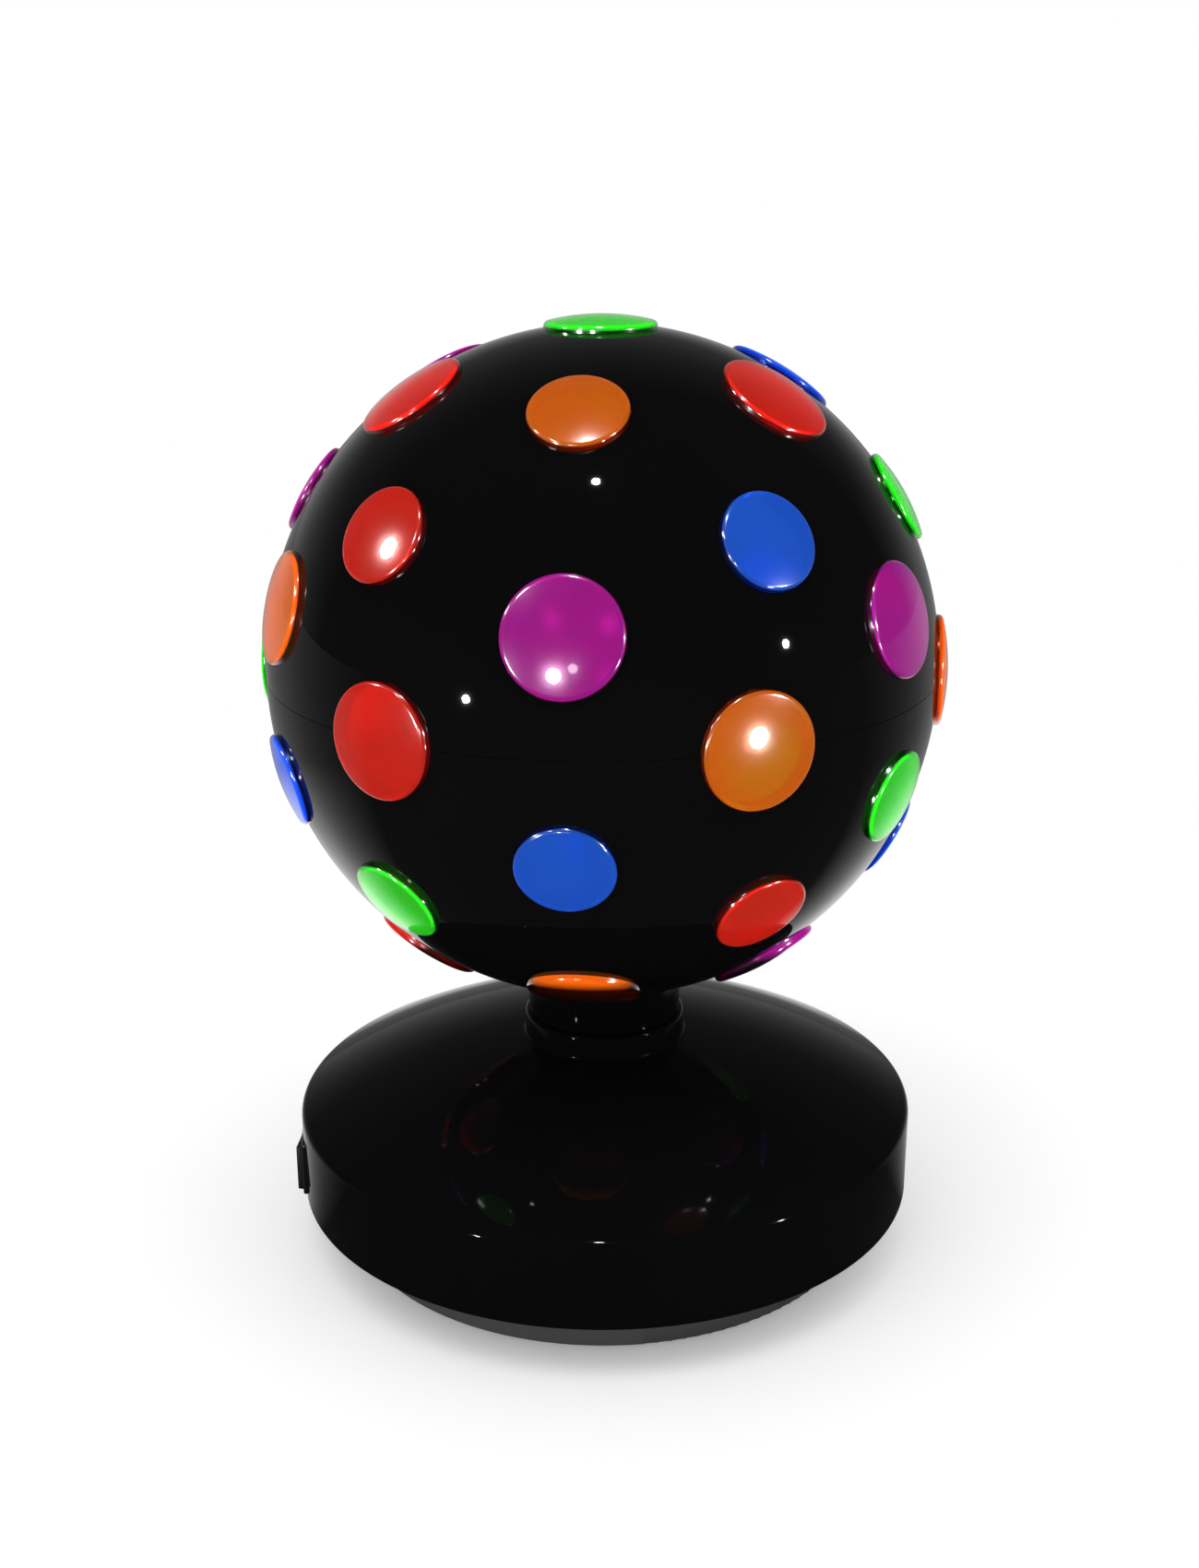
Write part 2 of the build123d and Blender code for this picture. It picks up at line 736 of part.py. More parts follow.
with BuildPart() as neck_hub:
    with BuildSketch(Plane.XZ):
        with BuildLine():
            Polyline(
                (hub_bore_radius + seat_gap, gear_bottom_z),
                (gear_seat_radius, gear_bottom_z),
                (gear_seat_radius, gear_top_z),
                (sleeve_radius, gear_top_z),
                (sleeve_radius, neck_top_z - neck_web),
                (pocket_outer_radius, neck_top_z - neck_web),
                (pocket_outer_radius, neck_bottom_z),
                (neck_radius, neck_bottom_z),
                (neck_radius, neck_top_z),
                (spigot_radius, neck_top_z),
                (spigot_radius, spigot_top_z),
                (hub_bore_radius + seat_gap, spigot_top_z),
                close=True,
            )
        make_face()
    revolve(axis=Axis.Z)
    with BuildSketch(Plane.XY.offset(neck_bottom_z + free_gap)):
        with Locations(*hub_screw_places):
            Circle(hub_boss_radius)
    extrude(amount=neck_height - neck_web)
    with BuildSketch(Plane.XY.offset(neck_top_z)):
        with Locations(*hub_screw_places):
            Circle(screw_radius + seat_gap)
    extrude(amount=-(hub_screw_length - pad_thickness + seat_gap), mode=Mode.SUBTRACT)
    with BuildSketch(Plane.XY.offset(gear_bottom_z + gear_screw_recess)):
        with Locations(*gear_screw_places):
            Circle(screw_radius + seat_gap)
    extrude(amount=gear_screw_length + seat_gap, mode=Mode.SUBTRACT)
neck_hub.part.label = "neck_hub"
export_step(neck_hub.part, "parts/neck_hub.step")

hub_screws = group_of(
    screw(hub_screw_length), [(x, y, neck_top_z + pad_thickness) for x, y, z in hub_screw_places]
)
hub_screws.part.label = "hub_screws"
export_step(hub_screws.part, "parts/hub_screws.step")

# Two flanged bushes between the hub and the post
with BuildPart() as flanged_bush:
    with BuildSketch(Plane.XZ):
        with BuildLine():
            Polyline(
                (post_radius + run_gap, 0),
                (bush_flange_radius, 0),
                (bush_flange_radius, bush_flange_thickness),
                (hub_bore_radius, bush_flange_thickness),
                (hub_bore_radius, bush_flange_thickness + bush_length),
                (post_radius + run_gap, bush_flange_thickness + bush_length),
                close=True,
            )
        make_face()
    revolve(axis=Axis.Z)

upper_bush_place = Location((0, 0, spigot_top_z + bush_flange_thickness), (180, 0, 0))
with BuildPart() as hub_bushes:
    with Locations((0, 0, bush_bottom_z), upper_bush_place):
        add(flanged_bush.part)
hub_bushes.part.label = "hub_bushes"
export_step(hub_bushes.part, "parts/hub_bushes.step")


# Lenses and ball
def lens_place(latitude, turn):
    """Location at the ball's centre whose Z axis points out through a lens.

    The turn is counted from the pattern's front, which looks along -Y when it isn't turned.
    """
    up = radians(latitude)
    side = radians(turn + pattern_angle)
    direction = Vector(cos(up) * sin(side), -cos(up) * cos(side), sin(up))
    return Plane(origin=(0, 0, ball_z), z_dir=direction).location


def lens_solid(radius):
    """One lens about Z, measured from the ball's centre: domed cap, skirt and inner flange."""
    rim_z_local = sqrt(ball_radius**2 - radius**2) + lens_rim_rise
    crown_z = ball_radius + lens_rise
    flange_radius = radius + lens_flange_width
    seat = ball_inner_radius - seat_gap
    bore = radius - lens_wall
    flange_top = sphere_point(flange_radius, seat)
    flange_bottom_z = flange_top[1] - lens_flange_thickness
    crown_drop = crown_z - rim_z_local
    crown_radius = (radius**2 + crown_drop**2) / (2 * crown_drop)
    crown_mid = (radius / 2, crown_z - crown_radius + sqrt(crown_radius**2 - (radius / 2) ** 2))
    inner_crown = crown_radius - lens_wall
    inner_rim_z = crown_z - crown_radius + sqrt(inner_crown**2 - bore**2)
    inner_mid = (bore / 2, crown_z - crown_radius + sqrt(inner_crown**2 - (bore / 2) ** 2))
    with BuildPart() as lens:
        with BuildSketch(Plane.XZ) as profile:
            with BuildLine():
                ThreePointArc((0, crown_z), crown_mid, (radius, rim_z_local))
                Line((radius, rim_z_local), sphere_point(radius, seat))
                ThreePointArc(
                    sphere_point(radius, seat), sphere_point((radius + flange_radius) / 2, seat), flange_top
                )
                Polyline(
                    flange_top,
                    (flange_radius, flange_bottom_z),
                    (bore, flange_bottom_z),
                    (bore, inner_rim_z),
                )
                ThreePointArc((bore, inner_rim_z), inner_mid, (0, crown_z - lens_wall))
                Line((0, crown_z - lens_wall), (0, crown_z))
            make_face()
            fillet(profile.vertices().sort_by_distance((radius, rim_z_local))[0], lens_rim_round)
        revolve(axis=Axis.Z)
    return lens.part


upper_lenses = [
    ("green", "large", 90, 0),
    ("orange", "small", ring_a_latitude_angle, 0),
    ("red", "large", ring_a_latitude_angle, ring_a_turn_angle),
    ("blue", "large", ring_a_latitude_angle, 180 - ring_a_turn_angle),
    ("green", "small", ring_a_latitude_angle, 180),
    ("purple", "large", ring_a_latitude_angle, 180 + ring_a_turn_angle),
    ("red", "large", ring_a_latitude_angle, -ring_a_turn_angle),
    ("blue", "small", ring_b_latitude_angle, ring_b_turn_angle),
    ("green", "small", ring_b_latitude_angle, 90),
    ("orange", "small", ring_b_latitude_angle, 180 - ring_b_turn_angle),
    ("blue", "small", ring_b_latitude_angle, 180 + ring_b_turn_angle),
    ("purple", "small", ring_b_latitude_angle, -90),
    ("red", "small", ring_b_latitude_angle, -ring_b_turn_angle),
    ("purple", "large", ring_c_front_latitude_angle, 0),
    ("purple", "large", ring_c_side_latitude_angle, ring_c_turn_angle),
    ("red", "large", ring_c_side_latitude_angle, 180 - ring_c_turn_angle),
    ("orange", "large", ring_c_front_latitude_angle, 180),
    ("green", "large", ring_c_side_latitude_angle, 180 + ring_c_turn_angle),
    ("orange", "large", ring_c_side_latitude_angle, -ring_c_turn_angle),
]
equator_lenses = [
    ("orange", "large", 0, ring_d_turn_angle),
    ("orange", "large", 0, 90),
    ("blue", "large", 0, 180 - ring_d_turn_angle),
    ("purple", "large", 0, 180 + ring_d_turn_angle),
    ("green", "large", 0, -90),
    ("red", "large", 0, -ring_d_turn_angle),
]
lower_lenses = [
    ("blue", "small", -ring_c_front_latitude_angle, 0),
    ("green", "small", -ring_c_side_latitude_angle, ring_c_turn_angle),
    ("purple", "small", -ring_c_side_latitude_angle, 180 - ring_c_turn_angle),
    ("red", "small", -ring_c_front_latitude_angle, 180),
    ("orange", "small", -ring_c_side_latitude_angle, 180 + ring_c_turn_angle),
    ("blue", "small", -ring_c_side_latitude_angle, -ring_c_turn_angle),
    ("red", "small", -ring_b_latitude_angle, ring_b_turn_angle),
    ("blue", "small", -ring_b_latitude_angle, 90),
    ("green", "small", -ring_b_latitude_angle, 180 - ring_b_turn_angle),
    ("purple", "small", -ring_b_latitude_angle, 180 + ring_b_turn_angle),
    ("orange", "small", -ring_b_latitude_angle, -90),
    ("green", "small", -ring_b_latitude_angle, -ring_b_turn_angle),
    ("orange", "large", -ring_a_latitude_angle, 0),
    ("purple", "large", -ring_a_latitude_angle, ring_a_turn_angle),
    ("green", "large", -ring_a_latitude_angle, 180 - ring_a_turn_angle),
    ("blue", "large", -ring_a_latitude_angle, 180),
    ("orange", "large", -ring_a_latitude_angle, 180 + ring_a_turn_angle),
    ("red", "large", -ring_a_latitude_angle, -ring_a_turn_angle),
]
lens_radii = {"large": large_lens_radius, "small": small_lens_radius}
lens_shapes = {size: lens_solid(radius) for size, radius in lens_radii.items()}


def cut_lens_holes(lenses):
    """Cuts the round holes of the lenses out of the shell being built."""
    for size, radius in lens_radii.items():
        places = [lens_place(latitude, turn) for _, lens_size, latitude, turn in lenses if lens_size == size]
        if places:
            with Locations(*places):
                Cylinder(radius + seat_gap, ball_radius + overrun,
                         align=(Align.CENTER, Align.CENTER, Align.MIN), mode=Mode.SUBTRACT)


# Lip inside the seam, cut away where the equator's lenses stand
lip_outer_radius = ball_inner_radius - 3 * seat_gap
lip_inner_radius = lip_outer_radius - lip_thickness
with BuildPart() as seam_lip:
    with BuildSketch(Plane.XZ):
        with BuildLine():
            Polyline(
                (lip_inner_radius, ball_z - lip_depth),
                (lip_outer_radius, ball_z - lip_depth),
                (lip_outer_radius, ball_z + seam_gap),
                (ball_inner_radius + ball_wall / 2, ball_z + seam_gap),
                (ball_inner_radius + ball_wall / 2, ball_z + lip_root),
                (lip_inner_radius, ball_z + lip_root),
                close=True,
            )
        make_face()
    revolve(axis=Axis.Z)
    with Locations(*[lens_place(latitude, turn) for _, _, latitude, turn in equator_lenses]):
        Cylinder(large_lens_radius + lens_flange_width + free_gap, ball_radius,
                 align=(Align.CENTER, Align.CENTER, Align.MIN), mode=Mode.SUBTRACT)

middle = sin(radians(45))
with BuildPart() as ball_upper_shell:
    with BuildSketch(Plane.XZ):
        with BuildLine():
            seam_z = ball_z + seam_gap / 2
            outer_end = (sqrt(ball_radius**2 - (seam_gap / 2) ** 2), seam_z)
            inner_end = (sqrt(ball_inner_radius**2 - (seam_gap / 2) ** 2), seam_z)
            ThreePointArc(
                (0, ball_z + ball_radius),
                (ball_radius * middle, ball_z + ball_radius * middle),
                outer_end,
            )
            Line(outer_end, inner_end)
            ThreePointArc(
                inner_end,
                (ball_inner_radius * middle, ball_z + ball_inner_radius * middle),
                (0, ball_z + ball_inner_radius),
            )
            Line((0, ball_z + ball_inner_radius), (0, ball_z + ball_radius))
        make_face()
    revolve(axis=Axis.Z)
    add(seam_lip.part)
    cut_lens_holes(upper_lenses + equator_lenses)
ball_upper_shell.part.label = "ball_upper_shell"
export_step(ball_upper_shell.part, "parts/ball_upper_shell.step")

pad_top_z = neck_top_z + pad_thickness
pad_hole_radius = spigot_radius + 2 * seat_gap
pad_radius = sqrt(ball_inner_radius**2 - (ball_z - pad_top_z) ** 2)
with BuildPart() as ball_lower_shell:
    with BuildSketch(Plane.XZ):
        with BuildLine():
            seam_z = ball_z - seam_gap / 2
            outer_end = (sqrt(ball_radius**2 - (seam_gap / 2) ** 2), seam_z)
            inner_end = (sqrt(ball_inner_radius**2 - (seam_gap / 2) ** 2), seam_z)
            ThreePointArc(
                outer_end, (ball_radius * middle, ball_z - ball_radius * middle), (neck_radius, neck_top_z)
            )
            Polyline(
                (neck_radius, neck_top_z),
                (pad_hole_radius, neck_top_z),
                (pad_hole_radius, pad_top_z),
                (pad_radius, pad_top_z),
            )
            ThreePointArc(
                (pad_radius, pad_top_z),
                (ball_inner_radius * middle, ball_z - ball_inner_radius * middle),
                inner_end,
            )
            Line(inner_end, outer_end)
        make_face()
    revolve(axis=Axis.Z)
    cut_lens_holes(lower_lenses + equator_lenses)
    with BuildSketch(Plane.XY.offset(neck_top_z)):
        with Locations(*hub_screw_places):
            Circle(screw_radius + seat_gap)
    extrude(amount=pad_thickness, mode=Mode.SUBTRACT)
ball_lower_shell.part.label = "ball_lower_shell"
export_step(ball_lower_shell.part, "parts/ball_lower_shell.step")

for zone, lenses in (("upper", upper_lenses), ("equator", equator_lenses), ("lower", lower_lenses)):
    for colour in ("red", "orange", "green", "blue", "purple"):
        chosen = [lens for lens in lenses if lens[0] == colour]
        with BuildPart() as lens_group:
            for size in lens_radii:
                places = [lens_place(lens[2], lens[3]) for lens in chosen if lens[1] == size]
                if places:
                    with Locations(*places):
                        add(lens_shapes[size])
        lens_group.part.label = f"{colour}_lenses_{zone}"
        export_step(lens_group.part, f"parts/{colour}_lenses_{zone}.step")

# Light core: six-sided bar on the post, with a board on each side and one on top
core_half = core_across_flats / 2
core_top_z = core_bottom_z + core_height
core_side_angle = 30.0

with BuildPart() as led_core:
    with BuildSketch(Plane.XY.offset(core_bottom_z)):
        RegularPolygon(core_half, 6, major_radius=False)
    extrude(amount=core_height)
    chamfer(led_core.edges().group_by(Axis.Z)[-1], core_bevel)
    with BuildSketch(Plane.XY.offset(core_bottom_z)):
        Circle(post_radius + seat_gap)
    extrude(amount=core_socket_depth, mode=Mode.SUBTRACT)
    with BuildSketch(Plane.XY.offset(core_bottom_z)):
        Circle(post_bore_radius)
    extrude(amount=core_height, mode=Mode.SUBTRACT)
    with BuildSketch(Plane.YZ):
        with Locations((0, core_bottom_z + core_screw_height)):
            Circle(screw_radius + seat_gap)
    extrude(amount=core_across_flats, mode=Mode.SUBTRACT)
led_core.part.label = "led_core"
export_step(led_core.part, "parts/led_core.step")

with BuildPart() as core_screw:
    with BuildSketch(Plane.YZ.offset(post_radius)):
        with Locations((0, core_bottom_z + core_screw_height)):
            Circle(screw_radius)
    extrude(amount=core_screw_length)
    chamfer(core_screw.edges().group_by(Axis.X)[0], screw_radius / 3)
core_screw.part.label = "core_screw"
export_step(core_screw.part, "parts/core_screw.step")

with BuildPart() as led_boards:
    with Locations((0, 0, ball_z)):
        with PolarLocations(core_half, 6, start_angle=core_side_angle):
            Box(led_board_thickness, led_board_width, led_board_length,
                align=(Align.MIN, Align.CENTER, Align.CENTER))
    with BuildSketch(Plane.XY.offset(core_top_z)):
        Circle(led_board_width - led_board_thickness)
    extrude(amount=led_board_thickness)
led_boards.part.label = "led_boards"
export_step(led_boards.part, "parts/led_boards.step")

led_face = core_half + led_board_thickness
led_rows = [(0, 0, ball_z + step * led_pitch) for step in (-1, 0, 1)]
top_led_z = core_top_z + led_board_thickness

with BuildPart() as led_emitters:
    with Locations(*led_rows):
        with PolarLocations(led_face, 6, start_angle=core_side_angle):
            Box(led_height, led_size, led_size, align=(Align.MIN, Align.CENTER, Align.CENTER))
    with Locations((0, 0, top_led_z)):
        Box(led_size, led_size, led_height, align=(Align.CENTER, Align.CENTER, Align.MIN))
led_emitters.part.label = "led_emitters"
export_step(led_emitters.part, "parts/led_emitters.step")

with BuildPart() as led_domes:
    with Locations(*led_rows):
        with PolarLocations(led_face + led_height, 6, start_angle=core_side_angle):
            Sphere(dome_radius_led, arc_size1=0, rotation=(0, 90, 0),
                   align=(Align.CENTER, Align.CENTER, Align.MIN))
    with Locations((0, 0, top_led_z + led_height)):
        Sphere(dome_radius_led, arc_size1=0, align=(Align.CENTER, Align.CENTER, Align.MIN))
led_domes.part.label = "led_domes"
export_step(led_domes.part, "parts/led_domes.step")

# Rocker switch: bezel and body in one, rocker and hinge pin, the front end of the rocker raised
switch_x = -switch_flat_x
bezel_x = -(base_foot_radius + bezel_proud)
pivot_x = -(base_foot_radius - rocker_pivot_depth)
body_back_x = switch_x + switch_body_depth
back_corner_angle = asin(rocker_back / rocker_end_radius) + radians(rocker_tilt_angle)
cavity_depth_x = pivot_x + rocker_end_radius * sin(back_corner_angle) + free_gap

with BuildPart() as switch_housing:
    with BuildSketch(Plane.YZ.offset(switch_x)):
        with Locations((0, control_z)):
            RectangleRounded(bezel_length, bezel_height, bezel_corner)
    extrude(amount=bezel_x - switch_x)
    chamfer(switch_housing.faces().sort_by(Axis.X)[0].edges(), bezel_chamfer)
    with BuildSketch(Plane.YZ.offset(switch_x)):
        with Locations((0, control_z)):
            Rectangle(switch_body_length, switch_body_height)
    extrude(amount=switch_body_depth)
    with BuildSketch(Plane.YZ.offset(bezel_x - overrun)):
        with Locations((0, control_z)):
            Rectangle(2 * (rocker_end_radius + free_gap), rocker_height + 2 * free_gap)
    extrude(amount=cavity_depth_x - bezel_x + overrun, mode=Mode.SUBTRACT)
    with BuildSketch(Plane.XY.offset(control_z)):
        with Locations((pivot_x, 0)):
            Circle(rocker_pin_radius + seat_gap)
    extrude(amount=switch_body_height / 2, both=True, mode=Mode.SUBTRACT)
switch_housing.part.label = "switch_housing"
export_step(switch_housing.part, "parts/switch_housing.step")

face_half = sqrt(rocker_end_radius**2 - rocker_face**2)
back_half = sqrt(rocker_end_radius**2 - rocker_back**2)
rocker_plane = Plane(
    origin=(pivot_x, 0, control_z - rocker_height / 2),
    x_dir=(-cos(radians(rocker_tilt_angle)), sin(radians(rocker_tilt_angle)), 0),
    z_dir=(0, 0, 1),
)

with BuildPart() as switch_rocker:
    with BuildSketch(rocker_plane):
        with BuildLine():
            ThreePointArc(
                (rocker_face, -face_half),
                (rocker_face - rocker_dish, 0),
                (rocker_face, face_half),
            )
            ThreePointArc((rocker_face, face_half), (0, rocker_end_radius), (-rocker_back, back_half))
            Line((-rocker_back, back_half), (-rocker_back, -back_half))
            ThreePointArc((-rocker_back, -back_half), (0, -rocker_end_radius), (rocker_face, -face_half))
        make_face()
        Circle(rocker_pin_radius + run_gap, mode=Mode.SUBTRACT)
    extrude(amount=rocker_height)
switch_rocker.part.label = "switch_rocker"
export_step(switch_rocker.part, "parts/switch_rocker.step")

with BuildPart() as rocker_pin:
    with BuildSketch(Plane.XY.offset(control_z)):
        with Locations((pivot_x, 0)):
            Circle(rocker_pin_radius)
    extrude(amount=switch_body_height / 2 - seat_gap, both=True)
rocker_pin.part.label = "rocker_pin"
export_step(rocker_pin.part, "parts/rocker_pin.step")

with BuildPart() as switch_blades:
    for side in (-1, 1):
        with Locations((body_back_x, side * blade_pitch / 2, control_z)):
            Box(blade_length, blade_thickness, blade_width, align=(Align.MIN, Align.CENTER, Align.CENTER))
switch_blades.part.label = "switch_blades"
export_step(switch_blades.part, "parts/switch_blades.step")

# Power socket: flanged body through the wall, nut inside, contact pin
jack_axis = Axis((0, 0, control_z), (0, 1, 0))
jack_front_y = jack_flat_y + jack_flange_thickness
jack_back_y = jack_flat_y - jack_length
jack_tail_y = jack_back_y - jack_tail_length
pin_front_y = jack_front_y - jack_pin_inset
bore_bottom_y = jack_front_y - jack_bore_depth
tag_end_y = jack_tail_y - jack_tag_length

with BuildPart() as jack_body:
    with BuildSketch(Plane.YZ):
        with BuildLine():
            Polyline(
                (jack_tail_y, control_z + jack_pin_radius + seat_gap),
                (jack_tail_y, control_z + jack_tail_radius),
                (jack_back_y, control_z + jack_tail_radius),
                (jack_back_y, control_z + jack_thread_radius),
                (jack_flat_y, control_z + jack_thread_radius),
                (jack_flat_y, control_z + jack_flange_radius),
                (jack_front_y, control_z + jack_flange_radius),
                (jack_front_y, control_z + jack_bore_radius),
                (bore_bottom_y, control_z + jack_bore_radius),
                (bore_bottom_y, control_z + jack_pin_radius + seat_gap),
                close=True,
            )
        make_face()
    revolve(axis=jack_axis)
jack_body.part.label = "jack_body"
export_step(jack_body.part, "parts/jack_body.step")

with BuildPart() as jack_pin:
    with BuildSketch(Plane.XZ.offset(-pin_front_y)):
        with Locations((0, control_z)):
            Circle(jack_pin_radius)
    extrude(amount=pin_front_y - tag_end_y)
    fillet(jack_pin.edges().group_by(Axis.Y)[-1], jack_pin_radius / 2)
jack_pin.part.label = "jack_pin"
export_step(jack_pin.part, "parts/jack_pin.step")

nut_face_y = sqrt(wall_inner_radius**2 - nut_corner_radius**2) - seat_gap
with BuildPart() as jack_nut:
    with BuildSketch(Plane.XZ.offset(-nut_face_y)):
        with Locations((0, control_z)):
            RegularPolygon(nut_across_flats / 2, 6, major_radius=False)
            Circle(jack_thread_radius + seat_gap, mode=Mode.SUBTRACT)
    extrude(amount=nut_thickness)
jack_nut.part.label = "jack_nut"
export_step(jack_nut.part, "parts/jack_nut.step")

# Driver board with its parts
with BuildPart() as driver_board:
    with BuildSketch(Plane.XY.offset(board_bottom_z)):
        with Locations((board_x, board_y)):
            RectangleRounded(board_length, board_width, board_corner)
        with Locations(*board_screw_places):
            Circle(screw_radius + seat_gap, mode=Mode.SUBTRACT)
    extrude(amount=board_thickness)
driver_board.part.label = "driver_board"
export_step(driver_board.part, "parts/driver_board.step")

board_screws = group_of(screw(board_screw_length), [(x, y, board_top_z) for x, y in board_screw_places])
board_screws.part.label = "board_screws"
export_step(board_screws.part, "parts/board_screws.step")

switch_plug = board_place(switch_plug_shares)
jack_plug = board_place(jack_plug_shares)

with BuildPart() as board_connectors:
    with BuildSketch(Plane.XY.offset(board_top_z)):
        with Locations(switch_plug, jack_plug, lamp_plug):
            Rectangle(connector_length, connector_width)
        with Locations(motor_plug):
            Rectangle(connector_width, connector_length)
    extrude(amount=connector_height)
board_connectors.part.label = "board_connectors"
export_step(board_connectors.part, "parts/board_connectors.step")

with BuildPart() as board_capacitor:
    with BuildSketch(Plane.XY.offset(board_top_z)):
        with Locations(board_place(capacitor_shares)):
            Circle(capacitor_radius)
    extrude(amount=capacitor_height)
    fillet(board_capacitor.edges().group_by(Axis.Z)[-1], capacitor_round)
board_capacitor.part.label = "board_capacitor"
export_step(board_capacitor.part, "parts/board_capacitor.step")

with BuildPart() as board_coil:
    with BuildSketch(Plane.XY.offset(board_top_z)):
        with Locations(board_place(coil_shares)):
            Circle(coil_radius)
    extrude(amount=coil_height)
board_coil.part.label = "board_coil"
export_step(board_coil.part, "parts/board_coil.step")

with BuildPart() as board_chips:
    with BuildSketch(Plane.XY.offset(board_top_z)):
        with Locations(*[board_place(shares) for shares in chip_shares]):
            Rectangle(chip_length, chip_width)
    extrude(amount=chip_height)
board_chips.part.label = "board_chips"
export_step(board_chips.part, "parts/board_chips.step")


# Wires inside the base, in pairs
def wire_pair_of(routes):
    """Two wires, each swept along its corners with one bend radius."""
    with BuildPart() as pair:
        for corners in routes:
            with BuildLine(mode=Mode.PRIVATE) as route:
                FilletPolyline(*corners, radius=wire_bend)
            with BuildSketch(Plane(origin=route.line @ 0, z_dir=route.line % 0)):
                Circle(wire_radius)
            sweep(path=route.line)
    return pair


plug_top_z = board_top_z + connector_height
plug_entry_z = board_top_z + plug_entry_share * connector_height
blade_tip_x = body_back_x + blade_length
switch_turn_x = (blade_tip_x + board_x - board_length / 2) / 2
switch_wires = wire_pair_of(
    [
        [
            (blade_tip_x, side * blade_pitch / 2, control_z),
            (switch_turn_x - side * wire_pair, side * blade_pitch / 2, control_z),
            (switch_turn_x - side * wire_pair, switch_plug[1] + side * wire_pair, plug_entry_z),
            (switch_plug[0] - connector_length / 2, switch_plug[1] + side * wire_pair, plug_entry_z),
        ]
        for side in (-1, 1)
    ]
)
switch_wires.part.label = "switch_wires"
export_step(switch_wires.part, "parts/switch_wires.step")

jack_wires = wire_pair_of(
    [
        [
            (start_x, start_y, control_z),
            (start_x, tag_end_y - 2 * wire_bend, control_z),
            (start_x, jack_plug[1] + side * wire_pair, plug_entry_z),
            (jack_plug[0] + connector_length / 2, jack_plug[1] + side * wire_pair, plug_entry_z),
        ]
        for start_x, start_y, side in ((0, tag_end_y, 1), (2 * wire_pair, jack_tail_y, -1))
    ]
)
jack_wires.part.label = "jack_wires"
export_step(jack_wires.part, "parts/jack_wires.step")

motor_wires = wire_pair_of(
    [
        [
            (gear_distance - motor_exit_reach, motor_plug[1] + side * wire_pair, motor_wire_z),
            (motor_plug[0], motor_plug[1] + side * wire_pair, motor_wire_z),
            (motor_plug[0], motor_plug[1] + side * wire_pair, plug_top_z),
        ]
        for side in (-1, 1)
    ]
)
motor_wires.part.label = "motor_wires"
export_step(motor_wires.part, "parts/motor_wires.step")

across = (-sin(wire_angle) * wire_pair, cos(wire_angle) * wire_pair)
lamp_wires = wire_pair_of(
    [
        [
            (lamp_plug[0] + side * across[0], lamp_plug[1] + side * across[1], plug_top_z),
            (lamp_plug[0] + side * across[0], lamp_plug[1] + side * across[1], lamp_wire_height),
            (side * across[0], side * across[1], lamp_wire_height),
            (side * across[0], side * across[1], core_top_z),
        ]
        for side in (-1, 1)
    ]
)
lamp_wires.part.label = "lamp_wires"
export_step(lamp_wires.part, "parts/lamp_wires.step")
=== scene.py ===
import json
import math

import bmesh
import bpy
from bpy.props import FloatProperty, FloatVectorProperty, IntProperty, PointerProperty
from mathutils import Matrix, Vector
from mathutils.bvhtree import BVHTree
from mathutils.interpolate import poly_3d_calc


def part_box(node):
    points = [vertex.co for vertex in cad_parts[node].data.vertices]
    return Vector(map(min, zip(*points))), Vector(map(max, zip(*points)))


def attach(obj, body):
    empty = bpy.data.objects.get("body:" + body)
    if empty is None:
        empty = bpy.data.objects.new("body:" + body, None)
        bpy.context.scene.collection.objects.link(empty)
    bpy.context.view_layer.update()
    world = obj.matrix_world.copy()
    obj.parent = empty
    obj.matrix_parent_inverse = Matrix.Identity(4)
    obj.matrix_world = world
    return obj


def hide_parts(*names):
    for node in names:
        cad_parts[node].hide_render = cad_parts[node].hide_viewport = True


bl_info = {
    "name": "Disco light",
    "version": (1, 0, 0),
    "blender": (4, 5, 0),
    "location": "View3D > Sidebar > Disco light",
    "description": "Builds a turning ball of coloured lenses on a round base, and its stage",
    "category": "Add Mesh",
}

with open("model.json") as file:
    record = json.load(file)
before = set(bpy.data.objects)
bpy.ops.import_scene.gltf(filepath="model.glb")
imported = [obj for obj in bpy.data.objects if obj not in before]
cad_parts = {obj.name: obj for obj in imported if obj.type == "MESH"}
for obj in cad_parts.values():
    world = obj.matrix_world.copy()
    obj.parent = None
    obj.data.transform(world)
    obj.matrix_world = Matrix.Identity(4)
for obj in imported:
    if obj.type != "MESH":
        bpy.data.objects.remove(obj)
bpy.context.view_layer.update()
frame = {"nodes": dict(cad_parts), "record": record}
nodes = frame["nodes"]

shell_low, shell_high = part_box("ball_lower_shell")
_, cover_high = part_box("base_cover")
neck_low, neck_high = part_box("neck_hub")

record = frame["record"]
PLACES = {
    part["node"]: (body, part["material_slot"])
    for part in record["subparts"]
    for body, held in record["behaviour"]["bodies"].items()
    if part["node"] in held
}
INNER_PARTS = (
    "base_screws", "lamp_post", "post_screws", "thrust_washer", "post_clip", "motor_can", "motor_lid",
    "motor_screws", "driver_board", "board_capacitor", "board_chips", "board_coil", "board_connectors",
    "board_screws", "led_core", "core_screw", "led_boards", "led_emitters", "led_domes", "switch_wires",
    "jack_wires", "motor_wires", "lamp_wires", "hub_gear", "hub_bushes", "hub_screws", "gear_screws",
    "drive_pinion", "motor_shaft",
)

COLOURS = ("red", "orange", "green", "blue", "purple")

SEAM_GAP = 0.0001
FIT_GAP = 0.00005
MERGE = 1e-6
BALL_CENTRE = Vector((0, 0, shell_high.z + SEAM_GAP / 2))

